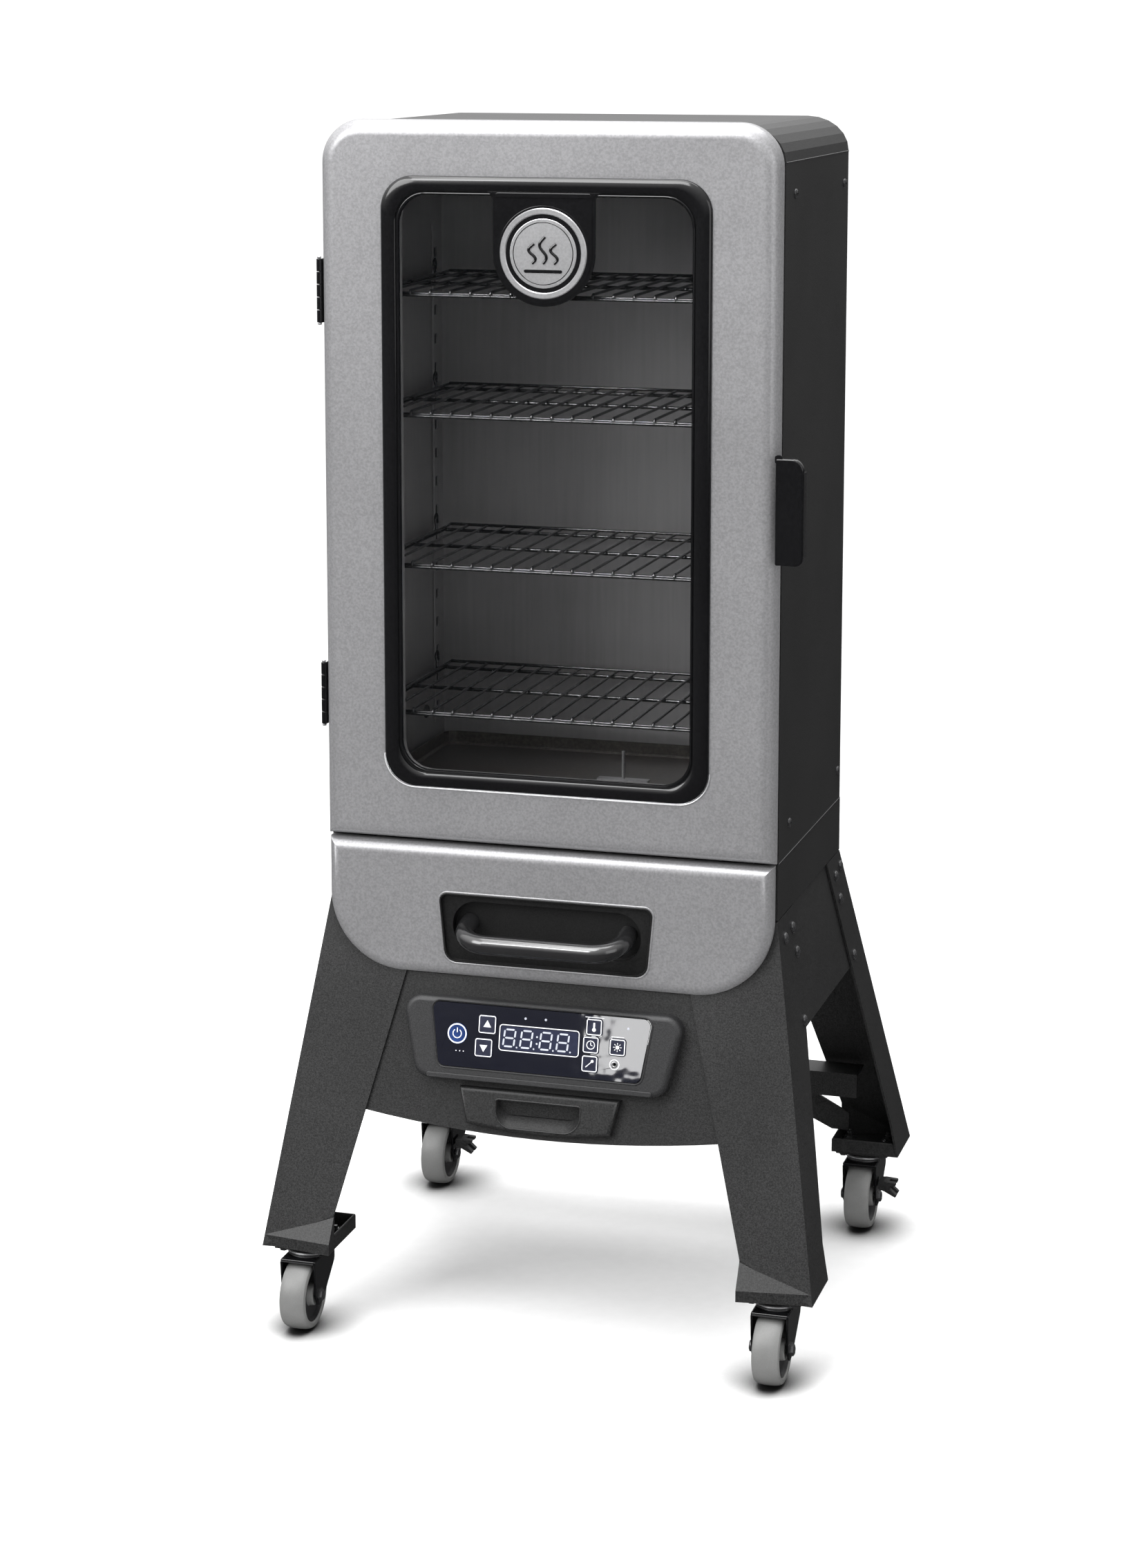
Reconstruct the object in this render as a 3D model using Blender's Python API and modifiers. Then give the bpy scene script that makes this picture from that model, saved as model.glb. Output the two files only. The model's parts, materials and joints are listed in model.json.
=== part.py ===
"""Electric cabinet smoker: an insulated cabinet with a glazed door, a drawer and a control
panel, on four splayed sheet-metal legs with casters.

Metres, +Z up, the front faces -Y. The origin is on the floor, at the middle of the outer box.
"""
import math

import bmesh
import bpy
from mathutils import Matrix, Vector

# Driving dimensions -----------------------------------------------------------------------
WIDTH = 0.484                 # cabinet, outside
HALF = WIDTH / 2
DOOR_FACE_Y = -0.2015
DOOR_DEPTH = 0.018
BOX_FRONT_Y = -0.1803         # front of the liner's flange
SHELL_FRONT_Y = -0.1786
SHELL_BACK_Y = 0.127
BOX_BACK_Y = 0.129
TOTAL_HEIGHT = 1.280          # top of the door
ROOF_TOP = 1.2775
ROOF_SEAM = 1.241
ROOF_RADIUS = 0.045
BODY_BOTTOM = 0.5285
HOUSING_BOTTOM = 0.4685
SHEET = 0.0015
SKIN = 0.0012
GAP = 0.0004

LINER_HALF = 0.209
LINER_FLOOR = 0.545
LINER_TOP = 1.247
LINER_BACK_Y = 0.094
VENT_X = 0.120
VENT_Z = 1.182
VENT_RADIUS = 0.024

GLASS_OPENING = (-0.154, 0.609, 0.154, 1.205)
SHELL_OPENING = (-0.158, 0.605, 0.158, 1.209)
BEZEL_OUTLINE = (-0.174, 0.590, 0.174, 1.224)
BADGE_Z = 1.148
BADGE_TAB_RADIUS = 0.0535

RACK_LEVELS = (1.105, 0.980, 0.822, 0.666)
RACK_HALF = 0.197
RACK_FRONT_Y = -0.1772
RACK_BACK_Y = 0.080
RACK_WIRES = 19
WIRE = 0.0036
RAIL_STRIP = (0.058, 0.074, 0.600, 1.160)   # depth and height of the slotted upright
RAIL_REACH = 0.1945
RAIL_ARM = 0.004

ELEMENT_SPAN, ELEMENT_FRONT_Y, ELEMENT_LEVEL = 0.150, -0.120, 0.5615
ELEMENT_BEND, ELEMENT_RADIUS = 0.025, 0.004
PAN_OUTLINE = (-0.200, -0.150, 0.200, 0.075)
PAN_CENTRE = (0.0, 0.0, 0.5800)
PAN_DEPTH = 0.016
SENSOR_X, SENSOR_Y, SENSOR_FOOT, SENSOR_TOP = 0.042, -0.050, 0.5742, 0.6060
DAMPER_RADIUS, DAMPER_ARM, DAMPER_LIFT = 0.0285, 0.036, 0.0006
GLAND_X, GLAND_Z = 0.150, 0.500

LEG_SLOPE_SIDE = 0.151        # outward run of the leg for each metre of drop
LEG_SLOPE_FRONT = 0.195
LEG_SLOPE_REAR = 0.410
LEG_SHEET = 0.0025
LEG_REAR_Y = 0.1287           # rear legs' outer corner at the bottom of the housing
LEG_TOP = 0.4675
FOOT_BOTTOM = 0.0886
FOOT_TOP = 0.103
FOOT_SIZE = 0.0775
LIP_TOP = 0.1005              # top of the front feet's upright lip
LIP_REACH = 0.016             # how far the lip's inner end stands out from the leg's face
APRON_BOTTOM = 0.338
CREASE_Z = 0.128              # below this the face's inner edge drops straight to the foot
LEG_SECTIONS = {              # height, width of the front or rear face, width of the side flange
    False: ((LEG_TOP, 0.107, 0.073), (APRON_BOTTOM, 0.0945, 0.083), (CREASE_Z, 0.0725, 0.0683),
            (FOOT_BOTTOM, FOOT_SIZE, FOOT_SIZE)),
    True: ((LEG_TOP, 0.107, 0.066), (APRON_BOTTOM, 0.0945, 0.067), (CREASE_Z, 0.0725, 0.0680),
           (FOOT_BOTTOM, FOOT_SIZE, FOOT_SIZE)),
}
APRON_HALF = 0.225
APRON_ENDS_Z = 0.2455         # lower edge of the bowed front apron, at its ends
APRON_MIDDLE_Z = 0.2265
APRON_NOTCH = (0.127, 0.394)  # half width and floor of the cut for the drawer's recess
BAR_FRONT, BAR_BACK, BAR_BOTTOM, BAR_TOP = 0.1985, 0.2375, 0.158, 0.186
BAR_HALF = 0.252
BRACE = ((0.110, 0.155), (0.216, 0.1058), (0.236, 0.1058), (0.236, 0.1264), (0.125, 0.1852),
         (0.110, 0.1852))

SWIVEL_X = 0.2565
SWIVEL_FRONT_Y = -0.2250
SWIVEL_REAR_Y = 0.2360
CASTER_TRAIL = 0.022
FIXED_PLATE, FIXED_PLATE_LOW = (0.030, 0.026), 0.0860
RACE_GAP_TOP, RACE_GAP_BOTTOM = 0.0832, 0.0828          # play between the fixed and turning races
CROWN = (-0.0380, 0.0240, 0.0766, 0.0796)               # back and forth, then low and high
WHEEL_RADIUS = 0.0375
WHEEL_WIDTH = 0.030
WHEEL_SEGMENTS = 20

HINGE_AXIS = (-HALF - 0.0034, -0.1915)
LATCH_LOW = 0.842
LATCH_HIGH = 0.950
LATCH_AXIS = (HALF + 0.0030, -0.2015)       # the lever's pin, just off the door's corner
LATCH_FACE = (0.2405, 0.2695)               # the lever's cover, from edge to edge
LATCH_FRONT_Y = DOOR_FACE_Y - 0.0045
BAIL_AXIS = (0.2535, -0.1925)
BAIL_WIRE, BAIL_TIP_Y, BAIL_REACH = 0.0016, -0.163, 0.0140

DRAWER_HALF, DRAWER_BOTTOM, DRAWER_CORNER, DRAWER_DEPTH = 0.240, 0.386, 0.082, 0.020
HANDLE_WINDOW = (0.1165, 0.4775, 0.1095, 0.4035)       # half width and height, top then bottom
HANDLE_FLANGE = (0.1205, 0.4815, 0.1135, 0.3995)
HANDLE_BODY = (0.1160, 0.4770, 0.1090, 0.4040)
HANDLE_POCKET = (0.1142, 0.4752, 0.1072, 0.4058)
CUP_DEPTH = 0.0185
BAR_REACH, BAR_LEVEL, BAR_RADIUS, BAR_BEND = 0.0860, 0.4445, 0.0100, 0.030
BAR_OUT, BAR_DROP = 0.0300, 0.0110          # how far its middle stands out and hangs down
TRAY_OUTLINE = (-0.205, -0.1805, 0.205, 0.105)
TRAY_FLOOR, TRAY_HEIGHT = 0.4725, 0.046
GREASE_HALF_TOP, GREASE_TOP, GREASE_HALF_LOW, GREASE_LOW = 0.0875, -0.0475, 0.0785, -0.0855
GREASE_DEPTH = 0.010
FINGER = (0.0455, -0.0862, -0.0578)                    # half width, bottom and top of the recess
FINGER_FLOOR, FINGER_WALL = -0.0060, 0.0018
TRAY_SLOT = ((-0.049, -0.0886), (0.049, -0.0886), (0.070, -0.0775), (0.076, -0.0540),
             (-0.076, -0.0540), (-0.070, -0.0775))
TROUGH = ((-0.066, -0.2245, 0.2490), (0.066, -0.0300, 0.2660))
TROUGH_HOLLOW = ((-0.0645, -0.2110, 0.2505), (0.0645, -0.0315, 0.2760))

PANEL_Z = 0.322               # height of the control panel's own origin on the front slope
HOUSING_DEPTH = 0.0150
FACE_CENTRE = 0.0126          # middle of the gloss face's thickness, above the panel's origin
FACE_SHEET = 0.0025
BUTTON_TOP = 0.0148
BUTTON_BOTTOM = 0.0095
ROUND_BUTTONS = (             # name, across, up the slope, radius
    ("button_power", -0.0900, 0.0080, 0.0110),
    ("button_up", -0.0575, 0.0200, 0.0088),
    ("button_down", -0.0605, -0.0045, 0.0088),
    ("button_temperature", 0.0580, 0.0270, 0.0080),
    ("button_timer", 0.0553, 0.0085, 0.0080),
    ("button_probe", 0.0550, -0.0110, 0.0080),
    ("button_light", 0.0840, 0.0085, 0.0080),
)

FRONTAL = Matrix.Rotation(math.radians(90), 4, "X")          # local XY becomes world XZ
SIDEWAYS = Matrix(((0, 0, 1, 0), (1, 0, 0, 0), (0, 1, 0, 0), (0, 0, 0, 1)))   # XY becomes YZ

COLOURS = {
    "silver_paint": ((0.50, 0.51, 0.53), 0.45, 0.55),
    "black_paint": ((0.035, 0.036, 0.038), 0.55, 0.2),
    "liner_steel": ((0.42, 0.42, 0.42), 0.45, 0.8),
    "gloss_black": ((0.02, 0.02, 0.025), 0.15, 0.3),
    "gloss_navy": ((0.02, 0.025, 0.06), 0.12, 0.0),
    "glass": ((0.7, 0.75, 0.75), 0.05, 0.0),
    "silicone": ((0.10, 0.10, 0.10), 0.8, 0.0),
    "chrome_wire": ((0.75, 0.75, 0.75), 0.2, 1.0),
    "zinc_steel": ((0.55, 0.55, 0.55), 0.35, 1.0),
    "grey_tyre": ((0.42, 0.42, 0.42), 0.55, 0.0),
    "pan_enamel": ((0.16, 0.14, 0.12), 0.4, 0.1),
    "black_plastic": ((0.03, 0.03, 0.032), 0.5, 0.0),
    "button_plastic": ((0.45, 0.46, 0.48), 0.4, 0.0),
    "button_blue": ((0.05, 0.12, 0.45), 0.35, 0.0),
}


# Scene helpers ----------------------------------------------------------------------------
def clear_scene():
    for item in list(bpy.data.objects):
        bpy.data.objects.remove(item, do_unlink=True)


def new_collection(name):
    collection = bpy.data.collections.new(name)
    bpy.context.scene.collection.children.link(collection)
    return collection


def new_material(name):
    colour, roughness, metallic = COLOURS[name]
    material = bpy.data.materials.new(name)
    material.use_nodes = True
    shader = material.node_tree.nodes["Principled BSDF"]
    shader.inputs["Base Color"].default_value = (*colour, 1.0)
    shader.inputs["Roughness"].default_value = roughness
    shader.inputs["Metallic"].default_value = metallic
    if name == "glass":
        shader.inputs["Alpha"].default_value = 0.3
    return material


clear_scene()
PARTS = new_collection("electric_cabinet_smoker")
TOOLS = new_collection("cutters")


def add(name, mesh, matrix=None, material=None):
    """A new object in the parts collection, or in the cutters where it has no material."""
    item = bpy.data.objects.new(name, mesh)
    if matrix is not None:
        item.matrix_world = matrix
    if material is None:
        TOOLS.objects.link(item)
        item.hide_render = True
        item.display_type = "WIRE"
    else:
        PARTS.objects.link(item)
        if not mesh.materials:
            mesh.materials.append(bpy.data.materials.get(material) or new_material(material))
    return item


def evaluated_mesh(item):
    bpy.context.view_layer.update()
    graph = bpy.context.evaluated_depsgraph_get()
    return bpy.data.meshes.new_from_object(item.evaluated_get(graph))


def weld(mesh, flatten=True):
    """Join a curve's loose caps to its sides and merge the flat faces."""
    work = bmesh.new()
    work.from_mesh(mesh)
    bmesh.ops.remove_doubles(work, verts=work.verts, dist=1e-6)
    if flatten:
        bmesh.ops.dissolve_limit(work, angle_limit=0.001, verts=work.verts, edges=work.edges)
    work.to_mesh(mesh)
    work.free()
    return mesh


def from_curve(curve, flatten=True):
    """The welded mesh of a curve, which is then removed."""
    item = bpy.data.objects.new("outline", curve)
    bpy.context.scene.collection.objects.link(item)
    mesh = weld(evaluated_mesh(item), flatten)
    mesh.materials.clear()
    bpy.data.objects.remove(item, do_unlink=True)
    return mesh


def plate_mesh(outline, thickness, holes=()):
    """A flat sheet in the XY plane, centred on z = 0."""
    curve = bpy.data.curves.new("outline", "CURVE")
    curve.dimensions = "2D"
    curve.fill_mode = "BOTH"
    curve.extrude = thickness / 2
    for loop in (outline, *holes):
        spline = curve.splines.new("POLY")
        spline.points.add(len(loop) - 1)
        for point, (u, v) in zip(spline.points, loop):
            point.co = (u, v, 0.0, 1.0)
        spline.use_cyclic_u = True
    return from_curve(curve, flatten=not holes)


def tube_mesh(points, radius, sides=8):
    curve = bpy.data.curves.new("path", "CURVE")
    curve.dimensions = "3D"
    curve.bevel_depth = radius
    curve.bevel_resolution = sides // 2 - 2
    curve.use_fill_caps = True
    spline = curve.splines.new("POLY")
    spline.points.add(len(points) - 1)
    for point, place in zip(spline.points, points):
        point.co = (*place, 1.0)
    return from_curve(curve, flatten=False)


def box_mesh(low, high):
    work = bmesh.new()
    centre = [(a + b) / 2 for a, b in zip(low, high)]
    size = [b - a for a, b in zip(low, high)]
    place = Matrix.Translation(centre) @ Matrix.Diagonal((*size, 1.0))
    bmesh.ops.create_cube(work, size=1.0, matrix=place)
    return to_mesh(work, "box")


def rod_mesh(start, end, radius, sides=12):
    """A cylinder between two points."""
    start, end = Vector(start), Vector(end)
    along = end - start
    place = Matrix.Translation((start + end) / 2) @ along.to_track_quat("Z", "Y").to_matrix().to_4x4()
    work = bmesh.new()
    bmesh.ops.create_cone(work, cap_ends=True, segments=sides, radius1=radius, radius2=radius,
                          depth=along.length, matrix=place)
    return to_mesh(work, "rod")


def to_mesh(work, name):
    mesh = bpy.data.meshes.new(name)
    work.to_mesh(mesh)
    work.free()
    return mesh


def moved(mesh, matrix):
    mesh.transform(matrix)
    return mesh


def boolean(item, operation, *meshes, matrix=None):
    """Cut or join meshes given in world space, or in the space of the matrix."""
    for mesh in meshes:
        tool = add(item.name + "_tool", mesh, matrix)
        modifier = item.modifiers.new(operation.lower(), "BOOLEAN")
        modifier.operation = operation
        modifier.object = tool
    return item


def solid(name, material, meshes, cuts=(), matrix=None):
    """One body: the first mesh, joined with the others, less the cuts."""
    item = add(name, meshes[0], matrix, material)
    boolean(item, "UNION", *meshes[1:], matrix=matrix)
    boolean(item, "DIFFERENCE", *cuts, matrix=matrix)
    return item


def shade(item, angle=35):
    item.data.shade_smooth()
    item.data.set_sharp_from_angle(angle=math.radians(angle))
    return item


# Outlines ---------------------------------------------------------------------------------
def arc(centre, radius, start, end, steps):
    """Points from one angle to the other, in degrees, both ends included."""
    angles = [math.radians(start + (end - start) * i / steps) for i in range(steps + 1)]
    return [(centre[0] + radius * math.cos(a), centre[1] + radius * math.sin(a)) for a in angles]


def rounded(corners, radii, steps=4):
    """A closed outline with each corner rounded to its radius; 0 keeps it sharp."""
    points = []
    for i, (corner, radius) in enumerate(zip(corners, radii)):
        if radius == 0:
            points.append(corner)
            continue
        here = Vector(corner)
        back = (Vector(corners[i - 1]) - here).normalized()
        ahead = (Vector(corners[(i + 1) % len(corners)]) - here).normalized()
        half = back.angle(ahead) / 2
        centre = here + (back + ahead).normalized() * radius / math.sin(half)
        first = here + back * radius / math.tan(half) - centre
        last = here + ahead * radius / math.tan(half) - centre
        turn = first.angle_signed(last)
        for step in range(steps + 1):
            spoke = Matrix.Rotation(-turn * step / steps, 2) @ first
            points.append(tuple(centre + spoke))
    return points


def rectangle(low_u, low_v, high_u, high_v, radius=0.0, steps=4, top=None):
    corners = ((low_u, low_v), (high_u, low_v), (high_u, high_v), (low_u, high_v))
    top = radius if top is None else top
    return rounded(corners, (radius, radius, top, top), steps)


def trapezoid(top_half, top_v, bottom_half, bottom_v, radius, steps=3):
    corners = ((-bottom_half, bottom_v), (bottom_half, bottom_v), (top_half, top_v), (-top_half, top_v))
    return rounded(corners, (radius,) * 4, steps)


def circle(u, v, radius, steps=14):
    return arc((u, v), radius, 0, 360 * (steps - 1) / steps, steps - 1)


def thick_line(points, thickness):
    """The outline of a folded sheet: a line of points with its thickness on the left."""
    line = [Vector(p) for p in points]
    inner = []
    for i, here in enumerate(line):
        before = (here - line[i - 1]).normalized() if i else (line[1] - here).normalized()
        after = (line[i + 1] - here).normalized() if i + 1 < len(line) else before
        normal = Vector((-before.y - after.y, before.x + after.x)).normalized()
        inner.append(tuple(here + normal * thickness / normal.dot((-before.y, before.x))))
    return [tuple(p) for p in line] + inner[::-1]


# Shapes shared by several parts -----------------------------------------------------------
def at_y(y):
    """Place a sheet's own XY plane at a depth, facing the front."""
    return Matrix.Translation((0, y, 0)) @ FRONTAL


def pan_mesh(outline, depth, wall, rim, steps, inward=True):
    """A pressed pan, open behind: its face at local +Z has edges rounded to the rim."""
    mesh = plate_mesh(outline, depth)
    work = bmesh.new()
    work.from_mesh(mesh)
    front = depth / 2
    if rim:
        edges = [e for e in work.edges if all(abs(v.co.z - front) < 1e-6 for v in e.verts)]
        bmesh.ops.bevel(work, geom=edges, offset=rim, segments=steps, profile=0.5, affect="EDGES")
    backs = [f for f in work.faces if all(abs(v.co.z + front) < 1e-6 for v in f.verts)]
    bmesh.ops.delete(work, geom=backs, context="FACES_ONLY")
    pan = to_mesh(work, "pan")
    item = add("pan", pan)
    shell = item.modifiers.new("shell", "SOLIDIFY")
    shell.thickness = wall
    shell.offset = -1.0 if inward else 1.0
    shell.use_even_offset = True
    result = evaluated_mesh(item)
    bpy.data.objects.remove(item, do_unlink=True)
    return result


def slope_frame(origin, slope, away):
    """Axes on a sloping face: X along it, Y up it, Z out of it."""
    up = Vector((0, slope, 1)).normalized()
    across = Vector((away, 0, 0))
    out = across.cross(up)
    frame = Matrix((across, up, out)).transposed().to_4x4()
    frame.translation = origin
    return frame


# Cabinet ----------------------------------------------------------------------------------
def arch(half, low, high, radius, steps=4):
    return rectangle(-half, low, half, high, 0.0, steps, top=radius)


def make_roof():
    drop = ROOF_TOP - ROOF_SEAM
    line = []
    for sign, start in ((1, 0), (-1, 90)):
        line += [(sign * (HALF - ROOF_RADIUS) + ROOF_RADIUS * u, ROOF_SEAM + drop * v)
                 for u, v in arc((0, 0), 1.0, start, start + 90, 6)]
    depth = SHELL_BACK_Y - SHELL_FRONT_Y
    mesh = plate_mesh(thick_line(line, SHEET), depth)
    return shade(add("roof_panel", mesh, at_y((SHELL_BACK_Y + SHELL_FRONT_Y) / 2), "black_paint"))


def make_side(name, sign):
    lip_front, lip_back = 0.014, 0.014
    line = [(HALF - lip_front, SHELL_FRONT_Y), (HALF, SHELL_FRONT_Y),
            (HALF, SHELL_BACK_Y), (HALF - lip_back, SHELL_BACK_Y)]
    outline = thick_line(line, SHEET)
    if sign < 0:
        outline = [(-x, y) for x, y in outline[::-1]]
    top = ROOF_SEAM - 0.0006
    mesh = plate_mesh(outline, top - BODY_BOTTOM)
    return add(name, mesh, Matrix.Translation((0, 0, (top + BODY_BOTTOM) / 2)), "black_paint")


def make_back():
    inset = 0.0008
    outline = arch(HALF - inset, BODY_BOTTOM, ROOF_TOP - inset, ROOF_RADIUS - inset)
    holes = [circle(x, VENT_Z, VENT_RADIUS) for x in (-VENT_X, VENT_X)]
    mesh = plate_mesh(outline, SHEET, holes)
    return add("back_panel", mesh, at_y(BOX_BACK_Y - SHEET / 2), "black_paint")


def make_liner():
    outline = arch(LINER_HALF, LINER_FLOOR, LINER_TOP, 0.030, 3)
    mouth = arch(LINER_HALF + SKIN / 2, LINER_FLOOR - SKIN / 2, LINER_TOP + SKIN / 2, 0.0306, 3)
    depth = LINER_BACK_Y - BOX_FRONT_Y - SKIN / 2
    place = at_y(LINER_BACK_Y - depth / 2) @ Matrix.Diagonal((1, 1, -1, 1))
    box = moved(pan_mesh(outline, depth, SKIN, 0.0, 1, inward=False), place)
    box.flip_normals()
    rim = arch(HALF - 0.002, BODY_BOTTOM + 0.0015, ROOF_TOP - 0.003, ROOF_RADIUS - 0.003, 4)
    flange = moved(plate_mesh(rim, SKIN, [mouth]), at_y(BOX_FRONT_Y + SKIN / 2))
    vents = [rod_mesh((x, 0.08, VENT_Z), (x, 0.11, VENT_Z), VENT_RADIUS, 14) for x in (-VENT_X, VENT_X)]
    liner = solid("chamber_liner", "liner_steel", [box], vents)
    return boolean(liner, "UNION", flange)


def make_lower_housing():
    height = BODY_BOTTOM - 0.0005 - HOUSING_BOTTOM
    outline = rectangle(-HALF, SHELL_FRONT_Y, HALF, BOX_BACK_Y)
    tray = pan_mesh(outline, height, SHEET, 0.0, 1)
    place = Matrix.Translation((0, 0, HOUSING_BOTTOM + height / 2)) @ Matrix.Diagonal((1, 1, -1, 1))
    tray.transform(place)
    tray.flip_normals()
    mouth = box_mesh((-0.2165, -0.19, HOUSING_BOTTOM + 0.0035), (0.2165, -0.17, BODY_BOTTOM + 0.01))
    return solid("lower_housing", "black_paint", [tray], [mouth])


def make_heating_element():
    span, level, front, corner = ELEMENT_SPAN, ELEMENT_LEVEL, ELEMENT_FRONT_Y, ELEMENT_BEND
    path = [(-span, LINER_BACK_Y - 0.001, level)]
    path += [(-span + corner + corner * u, front + corner + corner * v, level)
             for u, v in arc((0, 0), 1.0, 180, 270, 4)]
    path += [(span - corner + corner * u, front + corner + corner * v, level)
             for u, v in arc((0, 0), 1.0, 270, 360, 4)]
    path.append((span, LINER_BACK_Y - 0.001, level))
    return shade(add("heating_element", tube_mesh(path, ELEMENT_RADIUS), None, "zinc_steel"))


def make_water_pan():
    outline = rectangle(*PAN_OUTLINE, 0.012, 2)
    pan = pan_mesh(outline, PAN_DEPTH, SKIN, 0.003, 1)
    pan.transform(Matrix.Translation(PAN_CENTRE) @ Matrix.Rotation(math.pi, 4, "X")
                  @ Matrix.Translation((0, PAN_OUTLINE[3], 0)))
    return add("water_pan", pan, None, "pan_enamel")


def make_sensor():
    x, y = SENSOR_X, SENSOR_Y
    stem = rod_mesh((x, y, SENSOR_FOOT + 0.0003), (x, y, SENSOR_TOP), 0.0018, 8)
    foot = box_mesh((x - 0.028, y - 0.006, SENSOR_FOOT), (x + 0.028, y + 0.006, SENSOR_FOOT + 0.0015))
    return solid("temperature_sensor", "chrome_wire", [stem, foot])


def make_rack_rail(name, sign):
    """A slotted upright on the chamber wall with one arm for each rack."""
    wall = sign * (LINER_HALF - 0.0003)
    inner = wall - sign * 0.0022
    reach = sign * RAIL_REACH
    front, back, bottom, height = RAIL_STRIP
    strip = box_mesh((min(wall, inner), front, bottom), (max(wall, inner), back, height))
    arms = []
    for level in RACK_LEVELS:
        top = level - WIRE / 2 - 0.0003
        low, high = sorted((reach, wall - sign * 0.0008))
        arms.append(box_mesh((low, RACK_FRONT_Y + 0.012, top - RAIL_ARM), (high, back, top)))
    return solid(name, "chrome_wire", [strip, *arms])


def make_vent_damper(name, sign):
    """A round cover that swings aside about the screw in its ear."""
    near = BOX_BACK_Y + DAMPER_LIFT
    far = near + SKIN
    pivot = Vector((sign * (VENT_X - DAMPER_ARM), (near + far) / 2, VENT_Z))
    disc = rod_mesh((sign * VENT_X, near, VENT_Z), (sign * VENT_X, far, VENT_Z), DAMPER_RADIUS, 20)
    low, high = sorted((pivot.x - sign * 0.007, sign * VENT_X))
    ear = box_mesh((low, near, VENT_Z - 0.007), (high, far, VENT_Z + 0.007))
    knob_x = sign * (VENT_X + 0.012)
    knob = rod_mesh((knob_x, near + 0.0004, VENT_Z), (knob_x, far + 0.0122, VENT_Z), 0.006, 10)
    return on_axis(name + "_axis", pivot, solid(name, "black_paint", [disc, ear, knob]))


def make_hinge(name, z_low, z_high):
    axis_x, axis_y = HINGE_AXIS
    barrel = rod_mesh((axis_x, axis_y, z_low), (axis_x, axis_y, z_high), 0.0029, 12)
    leaf = box_mesh((-HALF - 0.0018, axis_y, z_low), (-HALF - 0.0004, -0.150, z_high))
    web = box_mesh((axis_x, axis_y - 0.0007, z_low), (-HALF - 0.0006, axis_y + 0.0007, z_high))
    return solid(name, "gloss_black", [barrel, leaf, web])


def make_cord_gland():
    def turned(near, far, radius, sides):
        start, end = ((GLAND_X, BOX_BACK_Y + depth, GLAND_Z) for depth in (near, far))
        return rod_mesh(start, end, radius, sides)

    flange = turned(0.0005, 0.006, 0.014, 12)
    neck = turned(0.004, 0.022, 0.0085, 12)
    bore = turned(0.008, 0.024, 0.0042, 10)
    return solid("cord_gland", "black_plastic", [flange, neck], [bore])


# Base -------------------------------------------------------------------------------------
def leg_corner(z, rear):
    drop = HOUSING_BOTTOM - z
    y = LEG_REAR_Y + LEG_SLOPE_REAR * drop if rear else BOX_FRONT_Y - LEG_SLOPE_FRONT * drop
    return HALF + LEG_SLOPE_SIDE * drop, y


def leg_section(z, face, flange, rear):
    """The angle section at one height, on the +X side."""
    x, y = leg_corner(z, rear)
    inner_y = leg_corner(max(z, CREASE_Z), rear)[1]
    inward = -1 if rear else 1
    t = LEG_SHEET
    return [(x, y, z), (x, y + inward * flange, z), (x - t, y + inward * flange, z),
            (x - t, y + inward * t, z), (x - face, inner_y + inward * t, z), (x - face, inner_y, z)]


def leg_mesh(rear):
    """A loft through sections whose two flanges change width at different rates."""
    work = bmesh.new()
    rings = []
    for z, face, flange in LEG_SECTIONS[rear]:
        rings.append([work.verts.new(p) for p in leg_section(z, face, flange, rear)])
    work.faces.new(rings[0])
    work.faces.new(rings[-1])
    for upper, lower in zip(rings, rings[1:]):
        for i in range(len(upper)):
            j = (i + 1) % len(upper)
            if i == 5:        # the crease runs from the foot's corner to the face's inner edge
                work.faces.new((upper[i], upper[j], lower[j]))
                work.faces.new((upper[i], lower[j], lower[i]))
            elif i == 3:
                work.faces.new((upper[i], upper[j], lower[i]))
                work.faces.new((upper[j], lower[j], lower[i]))
            else:
                work.faces.new((upper[i], upper[j], lower[j], lower[i]))
    bmesh.ops.recalc_face_normals(work, faces=work.faces)
    return to_mesh(work, "leg")


def foot_meshes(rear):
    """The foot plate with its turned-up lips, and the caster's fixed plate and race below it."""
    x, y = leg_corner(FOOT_BOTTOM, rear)
    inward = -1 if rear else 1
    inset = inward * LEG_SHEET / 2
    edge_x, edge_y = x - FOOT_SIZE, y + inward * FOOT_SIZE
    start_y = leg_corner(CREASE_Z, rear)[1] + inset
    outer_x = x - LEG_SHEET / 2
    outline = [(edge_x, start_y), (outer_x, y + inset), (outer_x, edge_y), (edge_x, edge_y)]
    plate = plate_mesh(outline if inward > 0 else outline[::-1], LEG_SHEET)
    plate.transform(Matrix.Translation((0, 0, FOOT_BOTTOM + LEG_SHEET / 2)))
    low, high = sorted((start_y, edge_y))
    side_lip = box_mesh((edge_x, low, FOOT_BOTTOM), (edge_x + LEG_SHEET, high, FOOT_TOP))
    low, high = sorted((edge_y - inward * LEG_SHEET, edge_y))
    end_x = leg_corner(FOOT_TOP, rear)[0] - LEG_SHEET / 2
    end_lip = box_mesh((edge_x, low, FOOT_BOTTOM), (end_x, high, FOOT_TOP))
    swivel_y = SWIVEL_REAR_Y if rear else SWIVEL_FRONT_Y
    half_x, half_y = FIXED_PLATE
    fixed = box_mesh((SWIVEL_X - half_x, swivel_y - half_y, FIXED_PLATE_LOW),
                     (SWIVEL_X + half_x, swivel_y + half_y, FOOT_BOTTOM + 0.0004))
    race = rod_mesh((SWIVEL_X, swivel_y, RACE_GAP_TOP), (SWIVEL_X, swivel_y, FIXED_PLATE_LOW + 0.0005),
                    0.0215, 16)
    return [plate, side_lip, end_lip, fixed, race]


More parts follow.
